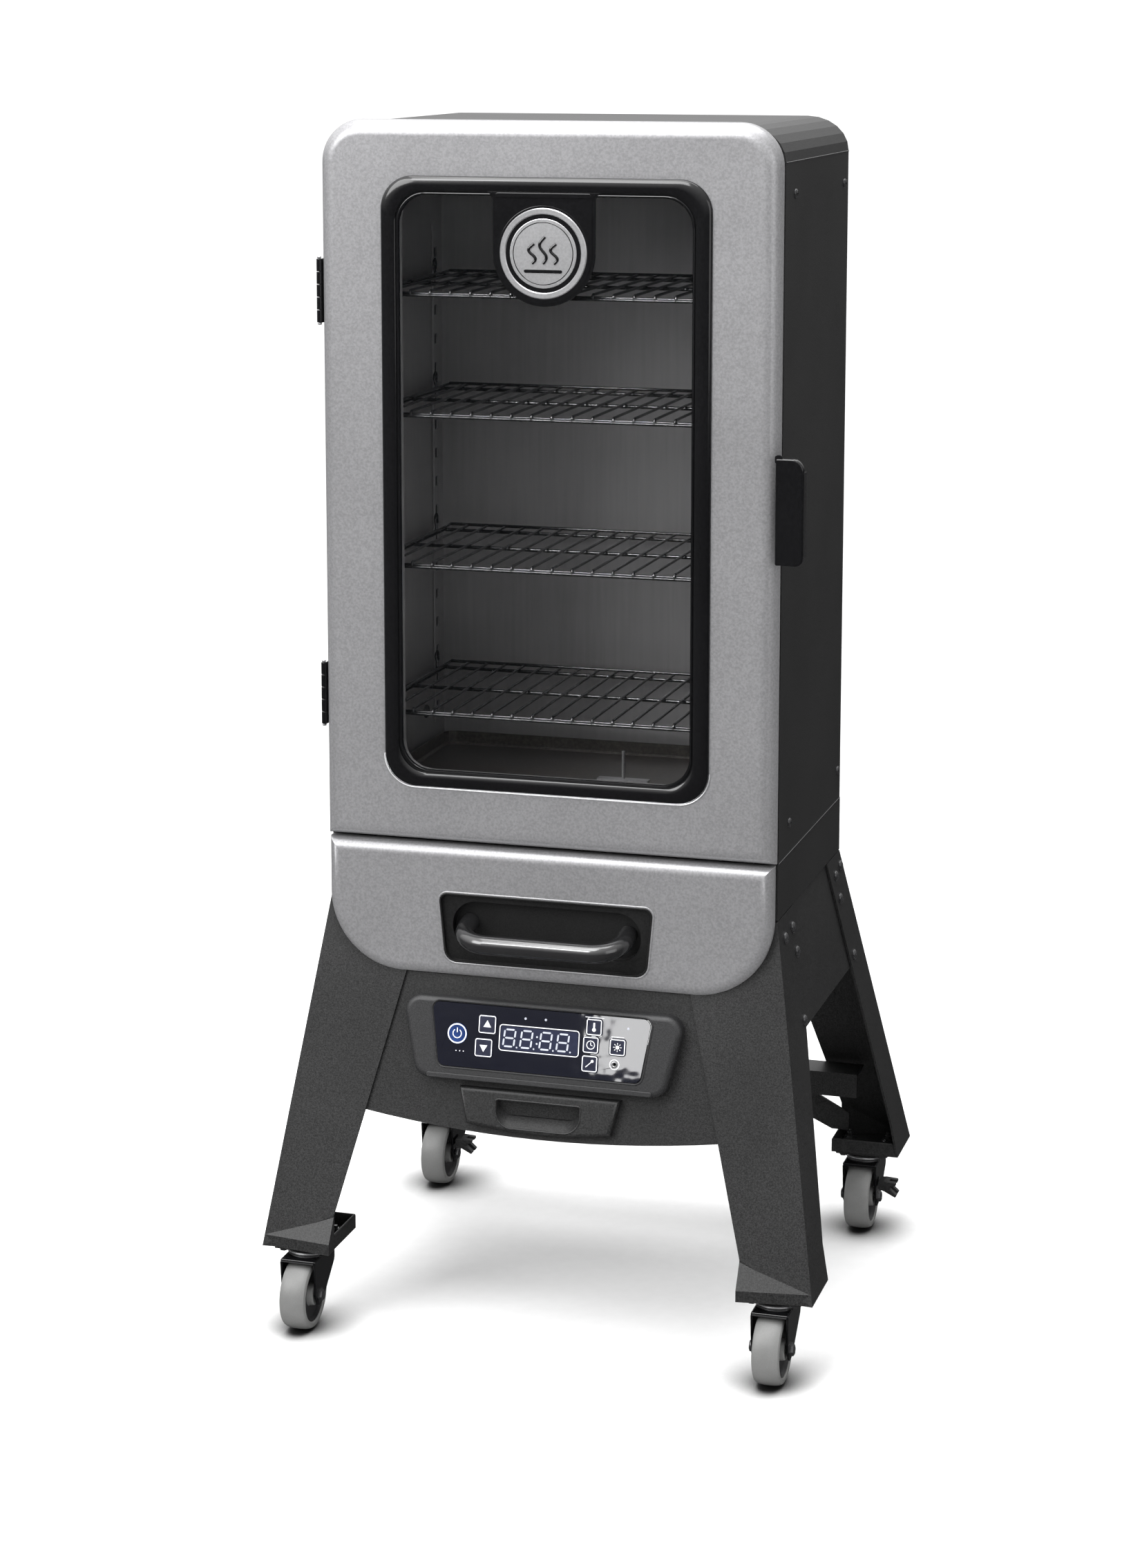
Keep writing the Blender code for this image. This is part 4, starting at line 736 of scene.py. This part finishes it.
def make_drawer():
    low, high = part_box("drawer_front")
    bottom = 0.386
    corners = ((low.x, bottom), (high.x, bottom), (high.x, high.z), (low.x, high.z))
    outline = rounded(corners, (0.082, 0.082, 0.0, 0.0), 24)
    pressed = moved(pan(outline, 0.02, 0.0012, 0.013, 8), at_y(FACE_Y + 0.01))
    window = moved(plate(cup_outline(0.0, 16), 0.03), at_y(FACE_Y))
    behind = panel_block((-0.3, -0.3, -0.2), (0.3, 0.3, 0.0004))
    piece("drawer_pressing", combine(pressed, "DIFFERENCE", window, behind), "silver_paint", "drawer",
          replaced="drawer_front")
    lip = tube([(u, FACE_Y + 0.0002, v) for u, v in cup_outline(0.001, 16)], 0.0012, 12, True)
    piece("drawer_lip", lip, "silver_paint", "drawer")
    make_handle()


def cup_outline(margin, steps):
    """The drawer's cut-out for the handle, grown by a margin."""
    corners = ((-0.1095 - margin, 0.4035 - margin), (0.1095 + margin, 0.4035 - margin),
               (0.1165 + margin, 0.4775 + margin), (-0.1165 - margin, 0.4775 + margin))
    return rounded(corners, (0.014 + margin, 0.014 + margin, 0.009 + margin, 0.009 + margin), steps)


def make_handle():
    """A black cup with a wide shelf, a deeper slot and a bent tube across it."""
    blank = softened(plate(cup_outline(0.0001, 16), 0.0166), 0.0006, 2)
    shelf = plate(cup_outline(-0.0019, 16), 0.02, z=0.0136)
    slot = plate(rectangle(-0.102, 0.417, 0.102, 0.469, 0.0255, None, 14), 0.02, z=0.003)
    cup = moved(combine(blank, "DIFFERENCE", shelf, slot), at_y(FACE_Y + 0.0075))
    bend, level, drop = 0.03, 0.4445, 0.011
    front, back, reach = FACE_Y - 0.03, FACE_Y + 0.015, 0.086
    line = [(-reach, back)]
    for side, start in ((-1, 180), (1, 270)):
        line += [(side * (reach - bend) + bend * u, front + bend + bend * v)
                 for u, v in arc((0, 0), 1, start, start + 90, 12)]
    line.append((reach, back))
    path = [(x, y, level - drop * (back - y) / (back - front)) for x, y in line]
    piece("handle_cup", softened(cup, 0.0005, 2), "soft_black", "drawer",
          replaced="drawer_handle")
    piece("handle_tube", tube(path, 0.01, 32), "tube_black", "drawer")


def finger_outline(margin, lift):
    """The finger recess, grown by a margin, its lower edge raised by the lift."""
    half, low, high = 0.0455 + margin, -0.0862 - margin + lift, -0.0578 + margin
    return rounded(((-half, low), (half, low), (half, high), (-half, high)),
                   (0.0175 + margin, 0.0175 + margin, 0.0025 + margin, 0.0025 + margin), 10)


def make_grease_tray():
    bow = [(0.0785 * u, -0.0855 - 0.006 * (1 - u * u)) for u in [i / 8 - 1 for i in range(17)]]
    outline = [*bow, (0.0875, -0.0475), (-0.0875, -0.0475)]
    front = plate(outline, 0.01)
    work = bmesh.new()
    work.from_mesh(front)
    edges = [e for e in work.edges if all(abs(v.co.z - 0.005) < 1e-6 for v in e.verts)]
    bmesh.ops.bevel(work, geom=edges, offset=0.0045, segments=6, profile=0.5, affect="EDGES")
    front = moved(to_mesh(work), shift(z=0.0028))
    body = plate(finger_outline(0.0018, 0.0), 0.0062, z=-0.0047)
    pocket = plate(finger_outline(0.0, 0.0), 0.015, z=0.0015)
    front = combine(combine(front, "UNION", body), "DIFFERENCE", pocket)
    levels = ((0.0, 0.0, 0.0066), (-0.0006, 0.0012, 0.005), (-0.0016, 0.0104, -0.0048),
              (-0.0016, 0.0108, -0.0059), (0.0002, 0.0, -0.0059))
    scoop = ring_sweep([[(u, v, w) for u, v in finger_outline(margin, lift)] for margin, lift, w in levels])
    rim = tube([(u, v, 0.0074) for u, v in finger_outline(0.0006, 0.0)], 0.0011, 8, True)
    parts = [moved(mesh, PANEL_FRAME) for mesh in (front, rim, scoop)]
    trough = combine(block((-0.066, -0.2195, 0.249), (0.066, -0.03, 0.266)), "DIFFERENCE",
                     block((-0.0645, -0.211, 0.2505), (0.0645, -0.0315, 0.276)))
    piece("grease_front", joined(*parts, trough), "black_paint", "grease_drawer", replaced="grease_tray")


# Chamber ------------------------------------------------------------------------------------
RACK_LEVELS = (1.105, 0.98, 0.822, 0.666)
RACK_HALF = 0.1952
WIRE_COUNT = 19


def rack_wire(x, level):
    """One wire of a rack: flat from the back, then turned down over the front bars."""
    top, bend, front = level + 0.0004, 0.003, -0.1768
    line = [(0.0778, top), *arc((front + bend, top - bend), bend, 90, 180, 6), (front, top - bend - 0.0018)]
    return tube([(x, y, z) for y, z in line], WIRE, 10)


def make_racks():
    pitch = 2 * RACK_HALF / (WIRE_COUNT - 1)
    bars = ((-0.1735, -0.003, 0.0016), (-0.1766, -0.0046, 0.0015), (-0.0486, -0.0028, 0.0019),
            (0.06, -0.0028, 0.0019), (0.0772, 0.0012, 0.0017))
    for number, level in enumerate(RACK_LEVELS, start=1):
        wires = [rack_wire(-RACK_HALF + pitch * i, level) for i in range(WIRE_COUNT)]
        wires += [rod((-0.1948, y, level + dz), (0.1948, y, level + dz), radius, 14, 0.0003)
                  for y, dz, radius in bars]
        piece(f"rack_wires_{number}", joined(*wires), RACK_WIRE, f"rack_shelf_{number}",
              replaced=f"rack_{number}")


def arm_path(level, sign):
    """A support wire: out of the upright, along the wall to a round end, and back."""
    outer, inner = sign * 0.204, sign * 0.1968
    low = level - 0.0036
    centre, radius = (outer + inner) / 2, abs(outer - inner) / 2
    hook = sign * 0.2062
    path = [(hook, 0.0655, low + 0.007), (hook, 0.0655, low + 0.015), (hook, 0.064, low + 0.0175),
            (hook, 0.0615, low + 0.018), (hook, 0.0592, low + 0.0165), (hook, 0.058, low + 0.012),
            (outer, 0.0575, low + 0.0035), (outer, 0.0555, low + 0.0005), (outer, 0.053, low)]
    for k in range(9):
        a = math.pi * k / 8
        path.append((centre + sign * radius * math.cos(a), -0.16 - radius * math.sin(a), low))
    path.append((inner, 0.07, low))
    return path


def make_rails():
    for side, sign in (("left", -1), ("right", 1)):
        wall = sign * 0.2087
        near, far = sorted((wall, wall - sign * 0.0022))
        strip = softened(block((near, 0.058, 0.6), (far, 0.074, 1.16)), 0.0005)
        slots = []
        for i in range(17):
            z = 0.618 + 0.0318 * i
            slot = plate(rectangle(0.0615, z - 0.006, 0.0705, z + 0.006, 0.0025, None, 4), 0.02)
            slots.append(moved(slot, shift(wall) @ SIDEWAYS))
        strip = combine(strip, "DIFFERENCE", *slots)
        piece(f"rail_{side}", strip, "liner_steel", "cabinet", replaced=f"rack_rail_{side}")
        arms = [tube(arm_path(level, sign), WIRE, 10) for level in RACK_LEVELS]
        piece(f"rack_arms_{side}", joined(*arms), RACK_WIRE, "cabinet")
        # a dark strip just behind each rail's slots: painted shadow in them
        dark = softened(block((near + 0.0001, 0.0605, 0.606), (near + 0.0004, 0.0715, 1.15)), 0.0001)
        dark.transform(shift(0.0 if sign < 0 else far - near - 0.0006))
        piece(f"rail_shadow_{side}", dark, PAINTED_SLOT_SHADOW, "cabinet")


def make_chamber_details():
    """Vent collars with their screws, a cable grommet, and the element's holders."""
    collars = []
    for x in (-VENT_X, VENT_X):
        place = facing((x, CHAMBER_BACK, VENT_Z), FORWARD)
        profile = [(0.024, 0.0), (0.0242, 0.0014), (0.0252, 0.0018), (0.0295, 0.001), (0.0305, 0.0)]
        collars.append(turned(profile, place, 40))
        for u, v in arc((x, VENT_Z), VENT_SCREWS, 45, 315, 3):
            collars.append(screw_head(facing((u, CHAMBER_BACK - 0.0008, v), FORWARD), 0.0022))
    piece("vent_collars", joined(*collars), "zinc_steel", "cabinet")
    grommet = [(0.0, 0.0), (0.0075, 0.0), (0.0075, 0.0012), (0.0062, 0.0026), (0.004, 0.0026),
               (0.0032, 0.0016), (0.0, 0.0016)]
    grommet = lathe(grommet, facing((-0.2088, 0.03, 0.618), (1, 0, 0)), 28)
    piece("wall_grommet", grommet, "silicone", "cabinet")
    holders = []
    for x in (-0.15, 0.15):
        holders.append(lathe([(0, 0), (0.01, 0), (0.01, 0.002), (0.0085, 0.0034), (0.0055, 0.0034),
                              (0.0055, 0.01), (0, 0.01)], facing((x, CHAMBER_BACK, 0.5615), FORWARD), 28))
    piece("element_holders", joined(*holders), "zinc_steel", "cabinet")


# Control panel ------------------------------------------------------------------------------
KEYS = (                      # body, node, across, up, half width, round
    ("key_power", "button_power", -0.09, 0.008, 0.011, True),
    ("key_up", "button_up", -0.0575, 0.02, 0.01, False),
    ("key_down", "button_down", -0.0605, -0.0045, 0.01, False),
    ("key_temperature", "button_temperature", 0.058, 0.027, 0.0089, False),
    ("key_timer", "button_timer", 0.0553, 0.0085, 0.0089, False),
    ("key_probe", "button_probe", 0.055, -0.011, 0.0089, False),
    ("key_light", "button_light", 0.084, 0.0085, 0.0089, False),
)
JACK = (0.0815, -0.0095)
KEY_TOP = 0.0148
PRINT_THICK = 0.00016


def key_outline(u, v, half, is_round, grow=0.0):
    size = half + grow
    if is_round:
        return circle(u, v, size, 40)
    return rectangle(u - size, v - size, u + size, v + size, max(0.0005, 0.003 + grow), None, 6)


def on_panel(mesh, w=0.0):
    return moved(mesh, PANEL_FRAME @ shift(z=w))


def print_line(points, width, w, closed=False):
    """A flat printed stroke along a line of points."""
    line = [Vector(p) for p in points]
    left, right = [], []
    count = len(line)
    for i, here in enumerate(line):
        ahead = line[(i + 1) % count] if closed or i + 1 < count else None
        behind = line[i - 1] if closed or i > 0 else None
        along = ((ahead or here) - (behind or here)).normalized()
        normal = Vector((-along.y, along.x)) * width / 2
        left.append(tuple(here + normal))
        right.append(tuple(here - normal))
    if closed:
        outer, inner = (left, right) if area(left) > area(right) else (right, left)
        return plate(outer, PRINT_THICK, [inner], z=w)
    return plate(left + right[::-1], PRINT_THICK, z=w)


def area(points):
    return abs(sum(a[0] * b[1] - b[0] * a[1] for a, b in zip(points, points[1:] + points[:1])))


def make_housing():
    outline = trapezoid(0.155, 0.045, 0.135, -0.041, 0.018, 12)
    shell = pan(outline, 0.015, 0.002, 0.0065, 8)
    shell.transform(shift(z=0.0053))
    window = plate(trapezoid(0.1196, 0.0401, 0.1096, -0.0271, 0.008, 8), 0.01, z=0.0125)
    shell = combine(shell, "DIFFERENCE", window)
    ridge = tube([(u, v, 0.0128) for u, v in trapezoid(0.1212, 0.0414, 0.111, -0.0284, 0.0095, 10)],
                 0.0009, 10, True)
    skirt = softened(plate(trapezoid(0.1235, -0.0345, 0.1215, -0.04, 0.0024, 5), 0.002, z=0.0128), 0.0009, 3)
    piece("panel_housing", joined(*[on_panel(mesh) for mesh in (shell, ridge, skirt)]), "black_plastic",
          "cabinet", replaced="control_housing")


def make_face():
    """The gloss face with an opening for each key, the display and its printing."""
    holes = [key_outline(u, v, half, is_round, 0.0004) for _, _, u, v, half, is_round in KEYS]
    holes.append(circle(*JACK, 0.0034, 24))
    face = plate(trapezoid(0.119, 0.0395, 0.109, -0.0265, 0.0076, 10), 0.0025, holes, z=0.01265)
    piece("panel_face", on_panel(softened(face, 0.0004, 2)), "gloss_navy", "cabinet",
          replaced="control_face")
    top = FACE_W + 0.00012
    window = plate(rectangle(-0.0425, -0.004, 0.041, 0.02, 0.0022), 0.0003, z=top)
    piece("display_pane", on_panel(window), DISPLAY, "cabinet")
    prints = [print_line(rectangle(-0.0438, -0.0053, 0.0423, 0.0213, 0.0032, None, 6), 0.0009, top, True)]
    prints.append(print_line(circle(*JACK, 0.005, 28), 0.0007, top, True))
    prints += panel_icons(top)
    piece("panel_printing", on_panel(joined(*prints)), PRINT, "cabinet")
    segments = []
    glow = top + 0.0002
    for u in (-0.033, -0.0145, 0.0065, 0.025):
        segments += digit(u, 0.008, 0.0058, 0.0088, glow)
        segments.append(dot(u + 0.0084, -0.0012, 0.0009, glow, 12))
    segments += [dot(-0.003, v, 0.001, glow, 14) for v in (0.0045, 0.0115)]
    piece("display_digits", on_panel(joined(*segments)), SEGMENT, "cabinet")
    lamps = [lathe([(0, 0), (0.0013, 0), (0.0013, 0.0003), (0.0009, 0.0007), (0, 0.0008)],
                   PANEL_FRAME @ shift(u, v, FACE_W - 0.0001), 20)
             for u, v in ((-0.0165, 0.0295), (0.0055, 0.03), (0.0945, 0.0285))]
    piece("panel_lamps", joined(*lamps), SEGMENT, "cabinet")
    sleeve = [(0.0018, -0.0045), (0.0018, 0.0002), (0.0024, 0.0007), (0.0031, 0.0005), (0.0033, -0.0045)]
    jack = turned(sleeve, PANEL_FRAME @ shift(*JACK, FACE_W), 28)
    piece("probe_jack", jack, "zinc_steel", "cabinet")


def dot(u, v, radius, w, steps):
    return plate(circle(u, v, radius, steps), PRINT_THICK, z=w)


def digit(u, v, half_u, half_v, w):
    """Seven unlit bars of a display digit, leaning a little."""
    lean = 0.1
    bars = []
    spots = [(0, half_v, True), (0, 0, True), (0, -half_v, True)]
    spots += [(s * half_u, t * half_v / 2, False) for s in (-1, 1) for t in (-1, 1)]
    for du, dv, flat in spots:
        length, width = half_u * 0.82 if flat else half_v * 0.42, 0.0009
        points = [(-length, 0), (-length + width, width), (length - width, width), (length, 0),
                  (length - width, -width), (-length + width, -width)]
        if not flat:
            points = [(-q, p) for p, q in points]
        points = [(u + du + p + lean * (dv + q), v + dv + q) for p, q in points]
        bars.append(plate(points, PRINT_THICK, z=w))
    return bars


def panel_icons(w):
    """Small generic marks beside the display: three strokes and a row of dots."""
    strokes = ((0.0555, 0.06, 0.0178), (0.077, 0.0905, 0.019), (0.048, 0.068, 0.037))
    marks = [print_line([(start, v), (end, v)], 0.0006, w) for start, end, v in strokes]
    marks += [dot(u, -0.01, 0.0006, w, 12) for u in (-0.0905, -0.0865, -0.0825)]
    return marks


def key_icon(name, u, v, w):
    if name == "key_power":
        ring = arc((u, v), 0.0046, 125, 415, 29)
        return [print_line(ring, 0.0009, w), print_line([(u, v + 0.0012), (u, v + 0.006)], 0.0009, w)]
    if name in ("key_up", "key_down"):
        sign = 1 if name == "key_up" else -1
        points = [(u - 0.0042, v - sign * 0.0028), (u + 0.0042, v - sign * 0.0028), (u, v + sign * 0.0044)]
        return [plate(points if sign > 0 else points[::-1], PRINT_THICK, z=w)]
    if name == "key_temperature":
        return [print_line([(u, v - 0.001), (u, v + 0.0046)], 0.0018, w), dot(u, v - 0.0026, 0.002, w, 20)]
    if name == "key_timer":
        return [print_line(circle(u, v, 0.0042, 28), 0.0008, w, True),
                print_line([(u, v + 0.0028), (u, v), (u + 0.002, v - 0.0008)], 0.0007, w)]
    if name == "key_probe":
        return [print_line([(u - 0.004, v - 0.0036), (u + 0.002, v + 0.002)], 0.0008, w),
                dot(u + 0.0029, v + 0.0029, 0.0015, w, 18)]
    rays = [print_line([(u + r0 * math.cos(a), v + r0 * math.sin(a)) for r0 in (0.003, 0.0045)], 0.0007, w)
            for a in (math.radians(d) for d in range(0, 360, 45))]
    return [dot(u, v, 0.002, w, 20), *rays]


def make_keys():
    for body, node, u, v, half, is_round in KEYS:
        cap = plate(key_outline(u, v, half, is_round), 0.0053, z=KEY_TOP - 0.00265)
        cap = softened(cap, 0.0009, 3)
        material = "button_blue" if is_round else "button_plastic"
        piece(f"{body}_cap", on_panel(cap), material, body, replaced=node)
        top = KEY_TOP + 0.00006
        edge = key_outline(u, v, half, is_round, -0.0012)
        marks = [print_line(edge, 0.0013 if is_round else 0.0009, top, True), *key_icon(body, u, v, top)]
        piece(f"{body}_mark", on_panel(joined(*marks)), PRINT, body)


# Base ---------------------------------------------------------------------------------------
SWIVELS = (("front_left", -0.2565, -0.225), ("front_right", 0.2565, -0.225),
           ("rear_left", -0.2565, 0.236), ("rear_right", 0.2565, 0.236))
TRAIL = 0.022
AXLE_Z = 0.0375


def make_feet():
    """Bolts through the foot plates, their nuts below, and the rounded tops of the lips."""
    bolts, lips = [], []
    for name, x, y in SWIVELS:
        sign = -1 if x < 0 else 1
        for across in (-0.0225, 0.0225):
            for along in (-0.019, 0.019):
                u, v = x + across, y + along
                bolts.append(hex_bolt(shift(u, v, 0.091), 0.0046))
                bolts.append(rod((u, v, 0.0826), (u, v, 0.0862), 0.0046, 6, 0.0005))
        start, lip_y = (-0.244, -0.1781) if name.startswith("front") else (0.266, 0.2082)
        edge = sign * 0.2231
        path = [(edge, start, 0.103), (edge, lip_y, 0.103), (sign * 0.293, lip_y, 0.103)]
        lips.append(tube(path, 0.0015, 10))
    piece("foot_bolts", joined(*bolts), SCREW, "cabinet")
    piece("foot_rims", joined(*lips), "black_paint", "cabinet")


def wheel_mesh():
    outer = [(0.0043, 0.0138), (0.0062, 0.0148), (0.0102, 0.0148), (0.0112, 0.014), (0.0122, 0.0082),
             (0.014, 0.0074), (0.0262, 0.0074), (0.0278, 0.0084), (0.0288, 0.0132), (0.03, 0.0142),
             (0.033, 0.0143), (0.035, 0.0134), (0.0363, 0.0112), (0.0371, 0.0076), (0.0375, 0.003)]
    profile = outer + [(r, -h) for r, h in outer[::-1]]
    return turned(profile, ACROSS, 56)


def hub_mesh():
    """Darker liners in the hollows on both sides of the wheel."""
    rings = []
    for s in (-1, 1):
        profile = [(0.0125, s * 0.0078), (0.027, s * 0.0078), (0.0284, s * 0.0128), (0.0279, s * 0.013),
                   (0.0264, s * 0.0085), (0.013, s * 0.0085)]
        rings.append(turned(profile, ACROSS, 48))
    return joined(*rings)


def fork_mesh():
    axle_y = -TRAIL
    near, far, top = -0.038, 0.024, 0.0796
    crown = softened(block((-0.019, near, 0.0766), (0.019, far, top)), 0.0011, 4)
    cheek = rounded(((near + 0.0008, top - 0.0006), (axle_y - 0.013, AXLE_Z + 0.004),
                     (axle_y - 0.006, AXLE_Z - 0.0115), (axle_y + 0.008, AXLE_Z - 0.009),
                     (far - 0.0008, 0.062), (far - 0.0008, top - 0.0006)),
                    (0.0015, 0.007, 0.007, 0.008, 0.009, 0.0015), 8)
    cheeks = [softened(moved(plate(cheek, 0.0022), shift(x) @ SIDEWAYS), 0.0007, 2)
              for x in (-0.0185, 0.0185)]
    edges = [tube([(x, near + 0.0004, top - 0.0035), (x, axle_y - 0.0122, AXLE_Z + 0.005)], 0.0009, 8)
             for x in (-0.0188, 0.0188)]
    edges.append(tube([(-0.018, near, 0.0769), (0.018, near, 0.0769)], 0.0009, 8))
    return joined(crown, *cheeks, *edges)


def race_mesh():
    profile = [(0.0, 0.0792), (0.0232, 0.0792), (0.0242, 0.0798), (0.0245, 0.0808), (0.0242, 0.0818),
               (0.0232, 0.0826), (0.0, 0.0828)]
    return lathe(profile, ORIGIN, 48)


def axle_mesh():
    axle_y = -TRAIL
    parts = [rod((-0.019, axle_y, AXLE_Z), (0.019, axle_y, AXLE_Z), 0.0037, 20)]
    for s in (-1, 1):
        parts.append(moved(lathe([(0, 0), (0.0082, 0), (0.0082, 0.0008), (0.0062, 0.001), (0.006, 0.0032),
                                  (0.005, 0.0038), (0, 0.0038)], ORIGIN, 6 if s > 0 else 28),
                           facing((s * 0.0197, axle_y, AXLE_Z), (s, 0, 0))))
    return joined(*parts)


def brake_mesh():
    """A rocker pedal: two prongs joined by a web, and the pad that bears on the tread."""
    corners = ((-0.0025, -0.004), (0.0045, -0.006), (0.0175, -0.0125), (0.0192, -0.0098), (0.009, -0.001),
               (0.0175, 0.0012), (0.0178, 0.0047), (0.004, 0.0056), (-0.0025, 0.0046))
    radii = (0.0008, 0.002, 0.001, 0.001, 0.002, 0.0008, 0.0012, 0.002, 0.0008)
    body = softened(moved(plate(rounded(corners, radii, 4), 0.02), FRONTAL), 0.0007, 2)
    slot = block((0.0095, -0.0035, -0.02), (0.03, 0.0035, 0.02))
    return combine(body, "DIFFERENCE", slot)


def make_casters():
    for name, x, y in SWIVELS:
        here = shift(x, y)
        hub = shift(x, y - TRAIL, AXLE_Z)
        piece(f"tyre_{name}", moved(wheel_mesh(), hub), "grey_tyre", f"wheel_{name}",
              replaced=f"caster_wheel_{name}")
        piece(f"wheel_liner_{name}", moved(hub_mesh(), hub), "black_plastic", f"wheel_{name}")
        piece(f"fork_{name}", moved(fork_mesh(), here), "gloss_black", f"swivel_{name}",
              replaced=f"caster_fork_{name}")
        piece(f"race_{name}", moved(race_mesh(), here), "zinc_steel", f"swivel_{name}")
        piece(f"axle_{name}", moved(axle_mesh(), here), SCREW, f"swivel_{name}")
        if name.startswith("rear"):
            side = name.split("_")[1]
            place = shift(x + 0.0235, y - TRAIL, 0.0535)
            piece(f"pedal_{side}", moved(brake_mesh(), place), "black_paint", f"brake_{side}",
                  replaced=f"caster_brake_{side}")


dress_cad_nodes()
make_fasteners()
make_door()
make_bezel()
make_hinges()
make_latch()
make_drawer()
make_grease_tray()
make_racks()
make_rails()
make_chamber_details()
make_housing()
make_face()
make_keys()
make_feet()
make_casters()


# Stage --------------------------------------------------------------------------------------
def make_world():
    """White all round for soft light, with darker surroundings in what the gloss mirrors."""
    world = bpy.data.worlds.new("studio")
    bpy.context.scene.world = world
    world.use_nodes = True
    tree = world.node_tree
    link = tree.links.new
    place = shader_node(tree, "ShaderNodeTexCoord")
    axes = shader_node(tree, "ShaderNodeSeparateXYZ")
    link(place.outputs["Generated"], axes.inputs["Vector"])
    mirrored = shader_node(tree, "ShaderNodeMath", operation="MULTIPLY")
    link(map_range(tree, axes.outputs["Z"], 0.08, 2.4, -0.05, 0.8), mirrored.inputs[0])
    link(map_range(tree, axes.outputs["X"], 1.4, 0.35, -1.0, 1.0), mirrored.inputs[1])
    rays = shader_node(tree, "ShaderNodeLightPath")
    strength = shader_node(tree, "ShaderNodeMix", data_type="FLOAT")
    strength.inputs["A"].default_value = WORLD_LIGHT
    link(rays.outputs["Is Glossy Ray"], strength.inputs["Factor"])
    link(mirrored.outputs["Value"], strength.inputs["B"])
    background = tree.nodes["Background"]
    background.inputs["Color"].default_value = (1, 1, 1, 1)
    link(strength.outputs["Result"], background.inputs["Strength"])


def add_lamp(name, place, target, size, power):
    lamp = bpy.data.lights.new(name, "AREA")
    lamp.size = size
    lamp.energy = power
    item = placed(name, lamp)
    item.visible_camera = False
    turn = (Vector(place) - Vector(target)).to_track_quat("Z", "Y")
    item.matrix_world = Matrix.Translation(place) @ turn.to_matrix().to_4x4()
    return item


def only_on(lamp, *names):
    """Let a lamp light only the named pieces."""
    group = bpy.data.collections.new(lamp.name + "_on")
    for name in names:
        group.objects.link(bpy.data.objects[name])
    lamp.light_linking.receiver_collection = group


def paint_contact_shadow(material, reach, darkest, lightest):
    """Paint contact shadow into a floor's colour: darker close to what stands on it."""
    tree = material.node_tree
    shader = tree.nodes["Principled BSDF"]
    plain = shader.inputs["Base Color"].links[0].from_socket
    cover = shader_node(tree, "ShaderNodeAmbientOcclusion", Distance=reach)
    amount = map_range(tree, cover.outputs["AO"], 0.0, 1.0, darkest, lightest)
    tree.links.new(multiplied(tree, plain, amount), shader.inputs["Base Color"])


def make_stage():
    work = bmesh.new()
    bmesh.ops.create_grid(work, x_segments=1, y_segments=1, size=40.0)
    floor = placed("floor", to_mesh(work))
    # painted contact shadow: the floor's colour darkens near whatever stands on it
    paint_contact_shadow(FLOOR, 0.07, 0.42, 0.96)
    floor.data.materials.append(FLOOR)
    floor.visible_glossy = False
    make_world()
    for name, place, target, size, power in (
        ("key", (-2.4, -3.2, 2.9), (0, 0, 0.8), 2.2, 110),
        ("fill", (3.0, -2.2, 1.6), (0, 0, 0.7), 2.0, 18),
        ("top", (0.0, 0.2, 3.4), (0, 0, 0.6), 2.4, 85),
        ("brow", (-0.2, -1.15, 2.3), (0, -0.2, 1.2), 0.9, 22),
    ):
        add_lamp(name, place, target, size, power)
    panel = (0.08, -0.215, 0.34)
    wires = [f"rack_wires_{i}" for i in range(1, 5)] + ["rack_arms_left", "rack_arms_right"]
    for name, place, target, size, power, *lit in (
        ("card_wide", (-0.65, -3.1, 0.53), panel, 0.13, 0.72, "panel_face"),
        ("card_small", (-0.5, -3.1, 0.47), panel, 0.06, 0.13, "panel_face"),
        ("streak", (-0.5, -1.9, 1.9), (0, -0.23, 0.44), 0.45, 11, "handle_tube"),
        ("glint", (-0.7, -2.4, 2.5), (0, -0.05, 0.85), 0.5, 60, *wires, "temperature_sensor"),
        ("facets", (0.0, -1.0, 2.6), (0, -0.28, 0.1), 0.5, 30, "leg_front_left", "leg_front_right"),
        ("edge_light", (-0.3, -2.0, 0.25), (0, -0.2, 0.59), 0.4, 110, "bezel_edge"),
    ):
        only_on(add_lamp(name, place, target, size, power), *lit)
    bpy.context.scene.view_settings.view_transform = "Standard"


def make_camera():
    data = bpy.data.cameras.new("camera")
    data.sensor_width = 36.0
    data.lens = 75.18
    data.shift_y = -0.15
    camera = placed("camera", data)
    yaw, pitch = 0.28923, -0.16143
    camera.location = (0.95545, -3.35417, 1.38375)
    camera.rotation_euler = (math.pi / 2 + pitch, 0.0, yaw)
    bpy.context.scene.camera = camera


make_stage()
make_camera()


def corners(box):
    return [list(corner) for corner in box]
